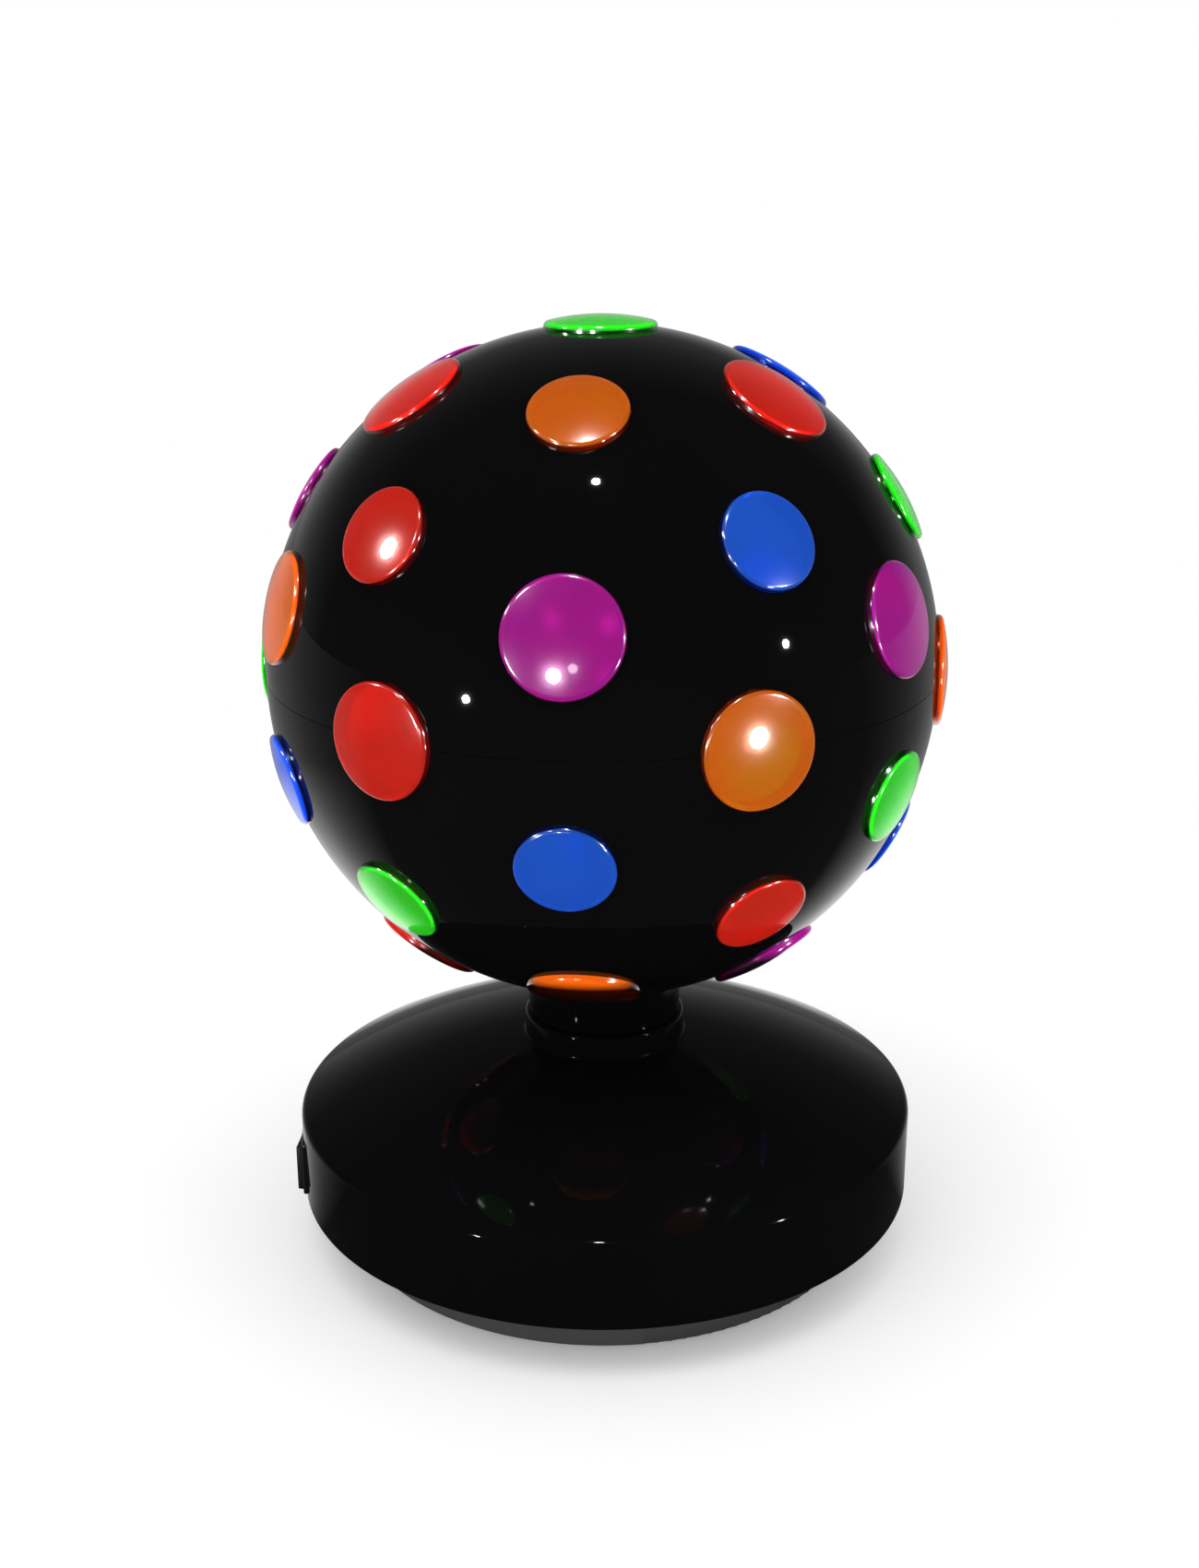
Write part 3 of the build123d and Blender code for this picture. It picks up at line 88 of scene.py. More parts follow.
# Painted glow: a lens's outer face glows in its own colour, and the glow sets in between these distances
# from the ball's centre. Below the first pair of heights a lens glows through as a whole. Below the
# second pair the glow stops, so of the lowest lenses only the upper rims glow, and their lower parts
# stay dark as painted shade where they face the dark base. Heights are from the ball's centre; the last
# value is the glow's strength
PAINTED_GLOW_FACE = (0.1012, 0.1016)
PAINTED_GLOW_LOWEST = (-0.071, -0.07)
PAINTED_SHADE_LOWEST = (-0.0785, -0.0755)
PAINTED_LENS_GLOW = 0.72
# Within this distance from its centre the ball's plastic is pale
PALE_INSIDE = 0.0989

# Steps of the ball's and the dome's arcs, and segments of a lens
BALL_STEPS = 48
DOME_STEPS = 40
LENS_STEPS = 72

NECK_SLEEVE, NECK_SPIGOT, NECK_SEAT, NECK_BORE = 0.017, 0.015, 0.0115, 0.0081
NECK_WALL = 0.0024
NECK_WEB = 0.004
NECK_SEAT_HEIGHT = 0.005
COLLAR_CLEARANCE = 0.0006

SWITCH_OPENING = (0.0212, 0.0164)
SOCKET_OPENING = 0.0055
OPENING_REACH = 0.004

# Lamps: name, azimuth, elevation, distance from the ball's centre, size, power
SOFT_LAMPS = (
    ("key", -50, 60, 1.6, 1.0, 4.0),
    ("fill", 60, 50, 1.8, 1.2, 2.5),
)
# Small bright discs that only gloss shows: azimuth, elevation, distance, diameter, radiance, and
# whether they light the lenses alone
SPARKS = (
    (-11.45, 73.31, 2.085, 0.08, 1500.0, False),
    (-49.45, 0.28, 2.091, 0.08, 1500.0, False),
    (55.99, 11.89, 2.084, 0.08, 1500.0, False),
    (-87.62, 29.24, 2.08, 0.32, 60.0, True),
    (-22.08, 4.49, 2.1, 0.24, 60.0, True),
    (-13.43, 8.1, 2.102, 0.16, 10.0, True),
    (38.6, -7.95, 0.642, 0.09, 60.0, True),
    (-11.45, 73.31, 2.085, 0.3, 36.0, True),
    (-49.45, 4.0, 2.091, 0.3, 36.0, True),
    (55.99, 11.89, 2.084, 0.3, 36.0, True),
    (-52.0, 42.0, 2.0, 0.3, 36.0, True),
)

FLOOR_RADIUS = 12.0
FLOOR_LIFT = 0.22


class LightBallSettings(bpy.types.PropertyGroup):
    radius: FloatProperty(
        name="Ball radius", description="Outer radius of the ball", default=0.1, unit="LENGTH")
    wall: FloatProperty(
        name="Ball wall", description="Thickness of the ball's shell", default=0.002, unit="LENGTH")
    seam: FloatProperty(
        name="Seam", description="Chamfer of the parting line", default=0.00012, unit="LENGTH")
    pad: FloatProperty(
        name="Pad", description="Thickness of the flat pad on the neck", default=0.003, unit="LENGTH")
    pad_hole: FloatProperty(
        name="Pad hole", description="Radius of the hole for the neck's spigot",
        default=0.0151, unit="LENGTH")
    large_lens: FloatProperty(
        name="Large lens", description="Radius of a large lens", default=0.01635, unit="LENGTH")
    small_lens: FloatProperty(
        name="Small lens", description="Radius of a small lens", default=0.01385, unit="LENGTH")
    lens_rise: FloatProperty(
        name="Lens rise", description="How far a lens stands proud", default=0.0026, unit="LENGTH")
    rim_rise: FloatProperty(
        name="Rim rise", description="Height of a lens's rim over the ball",
        default=0.0019, unit="LENGTH")
    rim_round: FloatProperty(
        name="Rim rounding", description="Rounding of a lens's rim", default=0.001, unit="LENGTH")
    lens_wall: FloatProperty(
        name="Lens wall", description="Thickness of a lens", default=0.0016, unit="LENGTH")
    flange_width: FloatProperty(
        name="Flange width", description="Width of a lens's inner flange", default=0.0015, unit="LENGTH")
    flange_thickness: FloatProperty(
        name="Flange thickness", description="Thickness of the inner flange",
        default=0.0012, unit="LENGTH")
    fit_gap: FloatProperty(
        name="Fit", description="Room between a lens and its hole", default=0.00005, unit="LENGTH")
    front: FloatProperty(
        name="Pattern's front", description="Turn of the lens pattern", default=math.radians(-12.2),
        subtype="ANGLE")


class LightBaseSettings(bpy.types.PropertyGroup):
    rim_radius: FloatProperty(
        name="Rim radius", description="Radius of the cover at its rim", default=0.0969, unit="LENGTH")
    foot_radius: FloatProperty(
        name="Wall's foot", description="Radius of the wall at its foot", default=0.0966, unit="LENGTH")
    wall_height: FloatProperty(
        name="Wall height", description="Height of the side wall", default=0.027, unit="LENGTH")
    wall: FloatProperty(
        name="Cover wall", description="Thickness of the cover", default=0.0022, unit="LENGTH")
    rim_round: FloatProperty(
        name="Rim rounding", description="Rounding between wall and dome", default=0.0015, unit="LENGTH")
    dome_rise: FloatProperty(
        name="Dome rise", description="Height of the domed top", default=0.0219, unit="LENGTH")
    dome_crown: FloatProperty(
        name="Dome crown", description="Rise of the dome's arc over its chord",
        default=0.0038, unit="LENGTH")
    collar_foot: FloatProperty(
        name="Collar's foot", description="Radius of the collar at its foot",
        default=0.0252, unit="LENGTH")
    collar_radius: FloatProperty(
        name="Collar radius", description="Radius of the collar's top", default=0.0249, unit="LENGTH")
    collar_height: FloatProperty(
        name="Collar height", description="Height of the collar over the dome",
        default=0.0075, unit="LENGTH")
    collar_hole: FloatProperty(
        name="Collar hole", description="Radius of the collar's opening", default=0.018, unit="LENGTH")
    flat: FloatProperty(
        name="Flat depth", description="Depth of the flats for the controls",
        default=0.0007, unit="LENGTH")


class LightFinishSettings(bpy.types.PropertyGroup):
    red: FloatVectorProperty(
        name="Red", description="Colour of the red lenses",
        subtype="COLOR", default=(0.62, 0.018, 0.008))
    orange: FloatVectorProperty(
        name="Orange", description="Colour of the orange lenses",
        subtype="COLOR", default=(0.66, 0.13, 0.004))
    green: FloatVectorProperty(
        name="Green", description="Colour of the green lenses",
        subtype="COLOR", default=(0.03, 0.6, 0.02))
    blue: FloatVectorProperty(
        name="Blue", description="Colour of the blue lenses",
        subtype="COLOR", default=(0.012, 0.1, 0.62))
    purple: FloatVectorProperty(
        name="Purple", description="Colour of the purple lenses",
        subtype="COLOR", default=(0.36, 0.008, 0.27))
    gloss_black: FloatVectorProperty(
        name="Gloss black", description="Colour of the glossy mouldings", subtype="COLOR",
        default=(0.0035, 0.0035, 0.0038))
    plate_grey: FloatVectorProperty(
        name="Plate grey", description="Colour of the base plate",
        subtype="COLOR", default=(0.11, 0.11, 0.11))
    glow: FloatProperty(
        name="Glow", description="Strength of the light sources inside the ball", default=1.0, min=0.0)


class LightStageSettings(bpy.types.PropertyGroup):
    camera_distance: FloatProperty(
        name="Camera distance", description="Distance from the ball's centre",
        default=0.61316, unit="LENGTH")
    camera_turn: FloatProperty(
        name="Camera turn", description="Azimuth of the camera",
        default=math.radians(-6.1076), subtype="ANGLE")
    camera_height: FloatProperty(
        name="Camera height", description="Elevation above the ball's centre",
        default=math.radians(14.634),
        subtype="ANGLE")
    camera_yaw: FloatProperty(
        name="Camera yaw", description="Heading of the optical axis", default=math.radians(-6.0),
        subtype="ANGLE")
    camera_pitch: FloatProperty(
        name="Camera pitch", description="Optical axis below the horizon", default=math.radians(18.049),
        subtype="ANGLE")
    camera_roll: FloatProperty(
        name="Camera roll", description="Roll about the optical axis", default=math.radians(-0.349),
        subtype="ANGLE")
    camera_lens: FloatProperty(
        name="Camera lens", description="Focal length in millimetres", default=46.70)
    segments: IntProperty(
        name="Segments", description="Segments of the largest round pieces", default=192, min=48)


GROUPS = (
    ("light_ball", LightBallSettings),
    ("light_base", LightBaseSettings),
    ("light_finish", LightFinishSettings),
    ("light_stage", LightStageSettings),
)


# Materials

class Link:
    """An output socket that sums can be written with."""

    def __init__(self, finish, socket):
        self.finish = finish
        self.socket = socket

    def math(self, operation, first, second):
        return self.finish.node("ShaderNodeMath", {"operation": operation}, {0: first, 1: second})

    def __add__(self, other):
        return self.math("ADD", self, other)

    def __sub__(self, other):
        return self.math("SUBTRACT", self, other)

    def __rsub__(self, other):
        return self.math("SUBTRACT", other, self)

    def __mul__(self, other):
        return self.math("MULTIPLY", self, other)

    def __lt__(self, other):
        return self.math("LESS_THAN", self, other)

    __radd__ = __add__
    __rmul__ = __mul__


class Finish:
    """The nodes of one material, or of the world."""

    def __init__(self, owner, coordinates="Object"):
        owner.use_nodes = True
        self.owner = owner
        self.tree = owner.node_tree
        self.tree.nodes.clear()
        self.place = self.node("ShaderNodeTexCoord", output=coordinates)

    def node(self, kind, settings=None, inputs=None, output=0):
        """A new node: its settings first, then the values or links of its inputs."""
        made = self.tree.nodes.new(kind)
        for key, value in (settings or {}).items():
            setattr(made, key, value)
        for key, value in (inputs or {}).items():
            if isinstance(value, Link):
                self.tree.links.new(value.socket, made.inputs[key])
            else:
                made.inputs[key].default_value = value
        return Link(self, made.outputs[output]) if made.outputs else made

    def noise(self, scale, detail=3.0, roughness=0.5, place=None):
        return self.node("ShaderNodeTexNoise", inputs={
            "Vector": place or self.place, "Scale": scale, "Detail": detail, "Roughness": roughness})

    def spread(self, value, low, high, start=0.0, end=1.0):
        """A value between start and end, mapped to low and high."""
        return self.node("ShaderNodeMapRange", inputs={
            "Value": value, "From Min": start, "From Max": end, "To Min": low, "To Max": high})

    def mix(self, factor, first, second):
        return self.node("ShaderNodeMix", {"data_type": "RGBA"}, {
            "Factor": factor, "A": rgba(first), "B": rgba(second)}, output="Result")

    def length(self, vector):
        return self.node("ShaderNodeVectorMath", {"operation": "LENGTH"}, {0: vector}, output="Value")

    def axis(self, name):
        """One of the coordinates of a surface point, or of the world's direction."""
        return self.node("ShaderNodeSeparateXYZ", inputs={"Vector": self.place}, output=name)

    def bump(self, height, strength, distance):
        return self.node("ShaderNodeBump", inputs={
            "Height": height, "Strength": strength, "Distance": distance})

    def principled(self, **inputs):
        """The surface, with its inputs named as words joined by underscores."""
        named = {key.replace("_", " "): value for key, value in inputs.items()}
        surface = self.node("ShaderNodeBsdfPrincipled", inputs=named)
        self.node("ShaderNodeOutputMaterial", inputs={"Surface": surface})
        return self.owner


def rgba(colour):
    """A link or four values as they are, and three values with an alpha of 1."""
    if isinstance(colour, Link) or len(colour) == 4:
        return colour
    return (*colour, 1.0)


def gloss_moulding(name, colour, roughness=0.03, ior=1.2, scale=1.0):
    """Polished black plastic: a deep gloss with faint orange peel and handling haze."""
    f = Finish(bpy.data.materials.new(name))
    haze = f.noise(14.0 * scale, 4.0)
    grain = f.noise(420.0 * scale, 2.0)
    tone = f.mix(haze, tuple(c * 0.8 for c in colour), tuple(c * 1.3 for c in colour))
    rough = f.spread(haze, roughness * 0.75, roughness * 1.35, 0.3, 0.7)
    peel = f.bump(grain, 0.01, 0.0001)
    return f.principled(
        Base_Color=tone, Roughness=rough + grain * 0.01, IOR=ior, Normal=peel)


def from_ball_centre(f):
    """Distance of a surface point from the ball's centre."""
    offset = f.node(
        "ShaderNodeVectorMath", {"operation": "SUBTRACT"}, {0: f.place, 1: tuple(BALL_CENTRE)})
    return f.length(offset)


def ball_moulding(name, colour, inner_radius):
    """The ball's plastic: gloss black outside, and pale within a distance from its centre."""
    f = Finish(bpy.data.materials.new(name))
    haze = f.noise(11.0, 4.0)
    grain = f.noise(400.0, 2.0)
    inside = from_ball_centre(f) < inner_radius
    black = f.mix(haze, tuple(c * 0.8 for c in colour), tuple(c * 1.3 for c in colour))
    pale = f.mix(f.noise(30.0), (0.78, 0.78, 0.77), (0.86, 0.86, 0.85))
    tone = f.mix(inside, black, pale)
    rough = f.spread(haze, 0.018, 0.03, 0.3, 0.7) + inside * 0.5
    peel = f.bump(grain, 0.01, 0.0001)
    return f.principled(Base_Color=tone, Roughness=rough, IOR=1.3, Normal=peel)


def lens_plastic_and_painted_glow(name, colour):
    """Clear coloured plastic, faintly clouded inside, under a polished face that carries a painted glow
    in the lens's colour, with painted shade on the lower parts of the lowest lenses.
    """
    f = Finish(bpy.data.materials.new(name))
    flow = f.noise(60.0, 3.0)
    tone = f.mix(flow, tuple(c * 0.92 for c in colour), tuple(min(1.0, c * 1.08) for c in colour))
    # Masks of painted glow and painted shade: where a lens's face glows in its own colour, and where it
    # stays dark
    face = f.spread(from_ball_centre(f), 0.0, 1.0, *PAINTED_GLOW_FACE)
    lowest = f.spread(f.axis("Z"), 1.0, 0.0, *(BALL_CENTRE.z + z for z in PAINTED_GLOW_LOWEST))
    upper = f.spread(f.axis("Z"), 0.0, 1.0, *(BALL_CENTRE.z + z for z in PAINTED_SHADE_LOWEST))
    # Painted glow on the outer faces and through the lowest lenses; their lower parts are left dark as
    # painted shade
    painted_glow = (face + lowest * (1 - face)) * upper
    # Emission Color carries the painted glow in the lens's own colour
    return f.principled(
        Base_Color=tone, Roughness=f.spread(flow, 0.15, 0.2), IOR=1.49, Transmission_Weight=1.0,
        Coat_Weight=1.0, Coat_Roughness=0.02, Coat_IOR=1.5, Normal=f.bump(flow, 0.02, 0.0003),
        Emission_Color=f.mix(painted_glow, (0.0, 0.0, 0.0), tone), Emission_Strength=PAINTED_LENS_GLOW)


def matt_moulding(name, colour, roughness=0.55, grain_size=900.0, depth=0.0002):
    """Plastic with a fine spark-eroded grain."""
    f = Finish(bpy.data.materials.new(name))
    cloud = f.noise(25.0, 3.0)
    grain = f.noise(grain_size, 3.0)
    tone = f.mix(cloud, tuple(c * 0.9 for c in colour), tuple(min(1.0, c * 1.1) for c in colour))
    return f.principled(
        Base_Color=tone, Roughness=f.spread(grain, roughness - 0.08, roughness + 0.08),
        Normal=f.bump(grain, 0.25, depth))


def rubber(name, colour):
    """Soft rubber with a dusty, uneven sheen."""
    f = Finish(bpy.data.materials.new(name))
    dust = f.noise(160.0, 5.0)
    tone = f.mix(dust, colour, tuple(min(1.0, c * 1.9) for c in colour))
    return f.principled(
        Base_Color=tone, Roughness=f.spread(dust, 0.75, 0.95), Normal=f.bump(dust, 0.3, 0.0003))


def metal(name, colour, roughness=0.28, stretch=(1.0, 1.0, 1.0), scale=350.0):
    """Plated or ground metal, its grain stretched along one axis."""
    f = Finish(bpy.data.materials.new(name))
    along = f.node("ShaderNodeMapping", inputs={"Vector": f.place, "Scale": stretch})
    grain = f.noise(scale, 4.0, place=along)
    tone = f.mix(grain, tuple(c * 0.82 for c in colour), tuple(min(1.0, c * 1.1) for c in colour))
    return f.principled(
        Base_Color=tone, Metallic=1.0, Roughness=f.spread(grain, roughness * 0.7, roughness * 1.4),
        Normal=f.bump(grain, 0.08, 0.0001))


def circuit_board(name, colour, trace):
    """Board lacquer with a lighter pattern of straight traces."""
    f = Finish(bpy.data.materials.new(name))
    cells = f.node("ShaderNodeTexVoronoi", {"feature": "F1", "distance": "MANHATTAN"}, {
        "Vector": f.place, "Scale": 260.0}, output="Distance")
    line = f.spread(cells, 0.0, 1.0, 0.42, 0.5)
    tone = f.mix(line, colour, trace)
    return f.principled(
        Base_Color=tone, Roughness=f.spread(line, 0.3, 0.4), Normal=f.bump(line, 0.2, 0.00005))


def glowing(name, colour, strength):
    """A light source: its resin's tone differs a little at random."""
    f = Finish(bpy.data.materials.new(name))
    tone = f.mix(f.noise(500.0), colour, tuple(min(1.0, c * 1.1) for c in colour))
    return f.principled(
        Base_Color=tone, Roughness=0.2, Emission_Color=tone, Emission_Strength=strength)


def light_paths(f):
    """Whether the camera sees a surface, and whether gloss or a clear piece shows it."""
    seen = f.node("ShaderNodeLightPath", output="Is Camera Ray")
    gloss = f.node("ShaderNodeLightPath", output="Is Glossy Ray")
    through = f.node("ShaderNodeLightPath", output="Is Transmission Ray")
    either = f.node("ShaderNodeMath", {"operation": "MAXIMUM"}, {0: gloss, 1: through})
    return seen, either * (1 - seen)


def make_finishes(settings):
    """One material for each slot of the record."""
    lens_colours = {c: tuple(getattr(settings, c)) for c in COLOURS}
    black = tuple(settings.gloss_black)
    made = {f"lens_{c}": lens_plastic_and_painted_glow(f"lens_{c}", colour) for c, colour in lens_colours.items()}
    made.update({
        "ball_black": ball_moulding("ball_black", black, PALE_INSIDE),
        "hub_black": gloss_moulding("hub_black", black, 0.06, 1.15),
        "cover_black": gloss_moulding("cover_black", black, 0.04, 1.15),
        "switch_black": gloss_moulding("switch_black", tuple(c * 2 for c in black), 0.28, 1.45, 4.0),
        "plate_grey": matt_moulding("plate_grey", tuple(settings.plate_grey), 0.35, 900.0, 0.00004),
        "part_black": matt_moulding("part_black", (0.012, 0.012, 0.013), 0.4),
        "foot_rubber": rubber("foot_rubber", (0.02, 0.02, 0.02)),
        "wire_rubber": rubber("wire_rubber", (0.35, 0.01, 0.01)),
        "bush_nylon": matt_moulding("bush_nylon", (0.75, 0.72, 0.64), 0.45),
        "gear_white": matt_moulding("gear_white", (0.82, 0.82, 0.79), 0.4),
        "plug_white": matt_moulding("plug_white", (0.8, 0.78, 0.7), 0.45),
        "screw_steel": metal("screw_steel", (0.55, 0.55, 0.56)),
        "post_steel": metal("post_steel", (0.5, 0.5, 0.51), 0.3, (1.0, 1.0, 0.05)),
        "motor_metal": metal("motor_metal", (0.55, 0.55, 0.53), 0.35),
        "core_aluminium": metal("core_aluminium", (0.7, 0.7, 0.71), 0.4, (1.0, 1.0, 0.04)),
        "coil_copper": metal("coil_copper", (0.72, 0.33, 0.14), 0.3, (0.2, 0.2, 8.0), 500.0),
        "contact_brass": metal("contact_brass", (0.72, 0.53, 0.22), 0.25),
        "board_green": circuit_board("board_green", (0.012, 0.11, 0.03), (0.03, 0.2, 0.06)),
        "board_white": circuit_board("board_white", (0.78, 0.78, 0.76), (0.7, 0.7, 0.66)),
        "emitter_yellow": matt_moulding("emitter_yellow", (0.85, 0.65, 0.12), 0.4),
        "emitter_clear": glowing("emitter_clear", (1.0, 0.93, 0.85), settings.glow),
    })
    return made


def finish_for(slot):
    """The material of a slot, made on first use."""
    name = f"{slot}_finish"
    if name not in bpy.data.materials:
        for made_for, material in make_finishes(bpy.context.scene.light_finish).items():
            material.name = f"{made_for}_finish"
    return bpy.data.materials[name]


# Mesh helpers

def arc(centre, radius, start, end, count):
    """Points of an arc in the XZ plane; angles are counted from +X towards +Z."""
    return [
        (centre[0] + radius * math.cos(a), centre[1] + radius * math.sin(a))
        for a in (start + (end - start) * k / count for k in range(count + 1))
    ]


def turned(points, steps, rounded=None):
    """A profile in the XZ plane, its listed corners rounded, spun about Z.

    rounded maps a corner's index to its radius. A profile that doesn't start on the axis is closed.
    """
    bm = bmesh.new()
    chain = [bm.verts.new((x, 0, z)) for x, z in points]
    edges = [bm.edges.new(pair) for pair in zip(chain, chain[1:])]
    if points[0][0] > 1e-9:
        edges.append(bm.edges.new((chain[-1], chain[0])))
    for index, radius in (rounded or {}).items():
        bmesh.ops.bevel(
            bm, geom=[chain[index]], offset=radius, offset_type="OFFSET", segments=5, profile=0.5,
            affect="VERTICES", material=-1)
    bmesh.ops.spin(
        bm, geom=bm.verts[:] + bm.edges[:], cent=(0, 0, 0), axis=(0, 0, 1), angle=math.tau,
        steps=steps, use_merge=True)
    bmesh.ops.remove_doubles(bm, verts=bm.verts[:], dist=MERGE)
    bmesh.ops.recalc_face_normals(bm, faces=bm.faces[:])
    return bm


def to_mesh(bm, name, sharp=math.radians(32)):
    """A mesh shaded smooth, with its sharp edges marked."""
    for face in bm.faces:
        face.smooth = True
    for edge in bm.edges:
        edge.smooth = edge.calc_face_angle(0.0) < sharp
    mesh = bpy.data.meshes.new(name)
    bm.to_mesh(mesh)
    bm.free()
    return mesh


def new_piece(name, mesh, body, slot, *replaced):
    """An object for a mesh in place, riding on a body and standing for CAD nodes."""
    piece = bpy.data.objects.new(name, mesh)
    bpy.context.scene.collection.objects.link(piece)
    piece.data.materials.append(finish_for(slot))
    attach(piece, body)
    if replaced:
        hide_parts(*replaced)
    return piece


def cut(piece, cutter_mesh, keep_within=math.radians(20)):
    """Cuts a closed shape out of a piece and gives the rest the smooth normals that it had."""
    source = piece.data
    corners = [v.co.copy() for v in source.vertices]
    polygons = [tuple(p.vertices) for p in source.polygons]
    normals = [n.vector.copy() for n in source.corner_normals]
    starts = [p.loop_start for p in source.polygons]
    tree = BVHTree.FromPolygons(corners, polygons)

    cutter = bpy.data.objects.new("cutter", cutter_mesh)
    bpy.context.scene.collection.objects.link(cutter)
    modifier = piece.modifiers.new("cut", "BOOLEAN")
    modifier.operation = "DIFFERENCE"
    modifier.solver = "EXACT"
    modifier.object = cutter
    graph = bpy.context.evaluated_depsgraph_get()
    made = bpy.data.meshes.new_from_object(piece.evaluated_get(graph))
    piece.modifiers.clear()
    piece.data = made
    bpy.data.objects.remove(cutter)

    least = math.cos(keep_within)
    custom = []
    for polygon in made.polygons:
        polygon.use_smooth = True
        for index in polygon.vertices:
            point = made.vertices[index].co
            place, _, face, _ = tree.find_nearest(point)
            ring = polygons[face]
            weights = poly_3d_calc([corners[i] for i in ring], place)
            smooth = Vector()
            for k, weight in enumerate(weights):
                smooth += normals[starts[face] + k] * weight
            smooth.normalize()
            custom.append(smooth if smooth.dot(polygon.normal) > least else polygon.normal.copy())
    made.normals_split_custom_set(custom)
    return piece


def refined(node, rounding=0.0):
    """A merged, smooth copy of a CAD node that stands for it, its sharp edges rounded where asked."""
    bm = bmesh.new()
    bm.from_mesh(nodes[node].data)
    bmesh.ops.remove_doubles(bm, verts=bm.verts[:], dist=MERGE)
    bmesh.ops.dissolve_limit(
        bm, angle_limit=math.radians(0.2), verts=bm.verts[:], edges=bm.edges[:], delimit=set())
    if rounding:
        sharp = [e for e in bm.edges if e.is_manifold and e.calc_face_angle(0.0) > math.radians(40)]
        bmesh.ops.bevel(
            bm, geom=sharp, offset=rounding, offset_type="OFFSET", segments=3, profile=0.5,
            affect="EDGES", clamp_overlap=True, material=-1)
    body, slot = PLACES[node]
    return new_piece(f"{node}.fine", to_mesh(bm, f"{node}.fine"), body, slot, node)


# Lens pattern

RING_A = math.radians(55.6)
RING_B = math.radians(31.0)
RING_C_FRONT = math.radians(18.2)
RING_C_SIDE = math.radians(14.7)
TURN_A = 64.0
TURN_B = 36.2
TURN_C = 63.2
TURN_D = 30.0

LENSES = {
    "upper": [
        ("green", "large_lens", math.pi / 2, 0),
        ("orange", "small_lens", RING_A, 0),
        ("red", "large_lens", RING_A, TURN_A),
        ("blue", "large_lens", RING_A, 180 - TURN_A),
        ("green", "small_lens", RING_A, 180),
        ("purple", "large_lens", RING_A, 180 + TURN_A),
        ("red", "large_lens", RING_A, -TURN_A),
        ("blue", "small_lens", RING_B, TURN_B),
        ("green", "small_lens", RING_B, 90),
        ("orange", "small_lens", RING_B, 180 - TURN_B),
        ("blue", "small_lens", RING_B, 180 + TURN_B),
        ("purple", "small_lens", RING_B, -90),
        ("red", "small_lens", RING_B, -TURN_B),
        ("purple", "large_lens", RING_C_FRONT, 0),
        ("purple", "large_lens", RING_C_SIDE, TURN_C),
        ("red", "large_lens", RING_C_SIDE, 180 - TURN_C),
        ("orange", "large_lens", RING_C_FRONT, 180),
        ("green", "large_lens", RING_C_SIDE, 180 + TURN_C),
        ("orange", "large_lens", RING_C_SIDE, -TURN_C),
    ],
    "equator": [
        ("orange", "large_lens", 0, TURN_D),
        ("orange", "large_lens", 0, 90),
        ("blue", "large_lens", 0, 180 - TURN_D),
        ("purple", "large_lens", 0, 180 + TURN_D),
        ("green", "large_lens", 0, -90),
        ("red", "large_lens", 0, -TURN_D),
    ],
    "lower": [
        ("blue", "small_lens", -RING_C_FRONT, 0),
        ("green", "small_lens", -RING_C_SIDE, TURN_C),
        ("purple", "small_lens", -RING_C_SIDE, 180 - TURN_C),
        ("red", "small_lens", -RING_C_FRONT, 180),
        ("orange", "small_lens", -RING_C_SIDE, 180 + TURN_C),
        ("blue", "small_lens", -RING_C_SIDE, -TURN_C),
        ("red", "small_lens", -RING_B, TURN_B),
        ("blue", "small_lens", -RING_B, 90),
        ("green", "small_lens", -RING_B, 180 - TURN_B),
        ("purple", "small_lens", -RING_B, 180 + TURN_B),
        ("orange", "small_lens", -RING_B, -90),
        ("green", "small_lens", -RING_B, -TURN_B),
        ("orange", "large_lens", -RING_A, 0),
        ("purple", "large_lens", -RING_A, TURN_A),
        ("green", "large_lens", -RING_A, 180 - TURN_A),
        ("blue", "large_lens", -RING_A, 180),
        ("orange", "large_lens", -RING_A, 180 + TURN_A),
        ("red", "large_lens", -RING_A, -TURN_A),
    ],
}


def towards(azimuth, elevation):
    """Direction whose azimuth is counted from -Y towards +X."""
    return Vector((
        math.cos(elevation) * math.sin(azimuth), -math.cos(elevation) * math.cos(azimuth),
        math.sin(elevation)))


def lens_matrix(latitude, turn, front):
    """Place at the ball's centre whose Z axis points out through a lens."""
    direction = towards(math.radians(turn) + front, latitude)
    return Matrix.Translation(BALL_CENTRE) @ direction.to_track_quat("Z", "Y").to_matrix().to_4x4()


def hole_cutter(ball, zones):
    """One closed mesh with a cylinder through each lens hole of the zones."""
    bm = bmesh.new()
    for zone in zones:
        for _, size, latitude, turn in LENSES[zone]:
            radius = getattr(ball, size) + ball.fit_gap
            depth = ball.radius * 0.4
            lift = Matrix.Translation((0, 0, ball.radius))
            bmesh.ops.create_cone(
                bm, cap_ends=True, segments=96, radius1=radius, radius2=radius, depth=depth,
                matrix=lens_matrix(latitude, turn, ball.front) @ lift)
    mesh = bpy.data.meshes.new("hole_cutter")
    bm.to_mesh(mesh)
    bm.free()
    return mesh


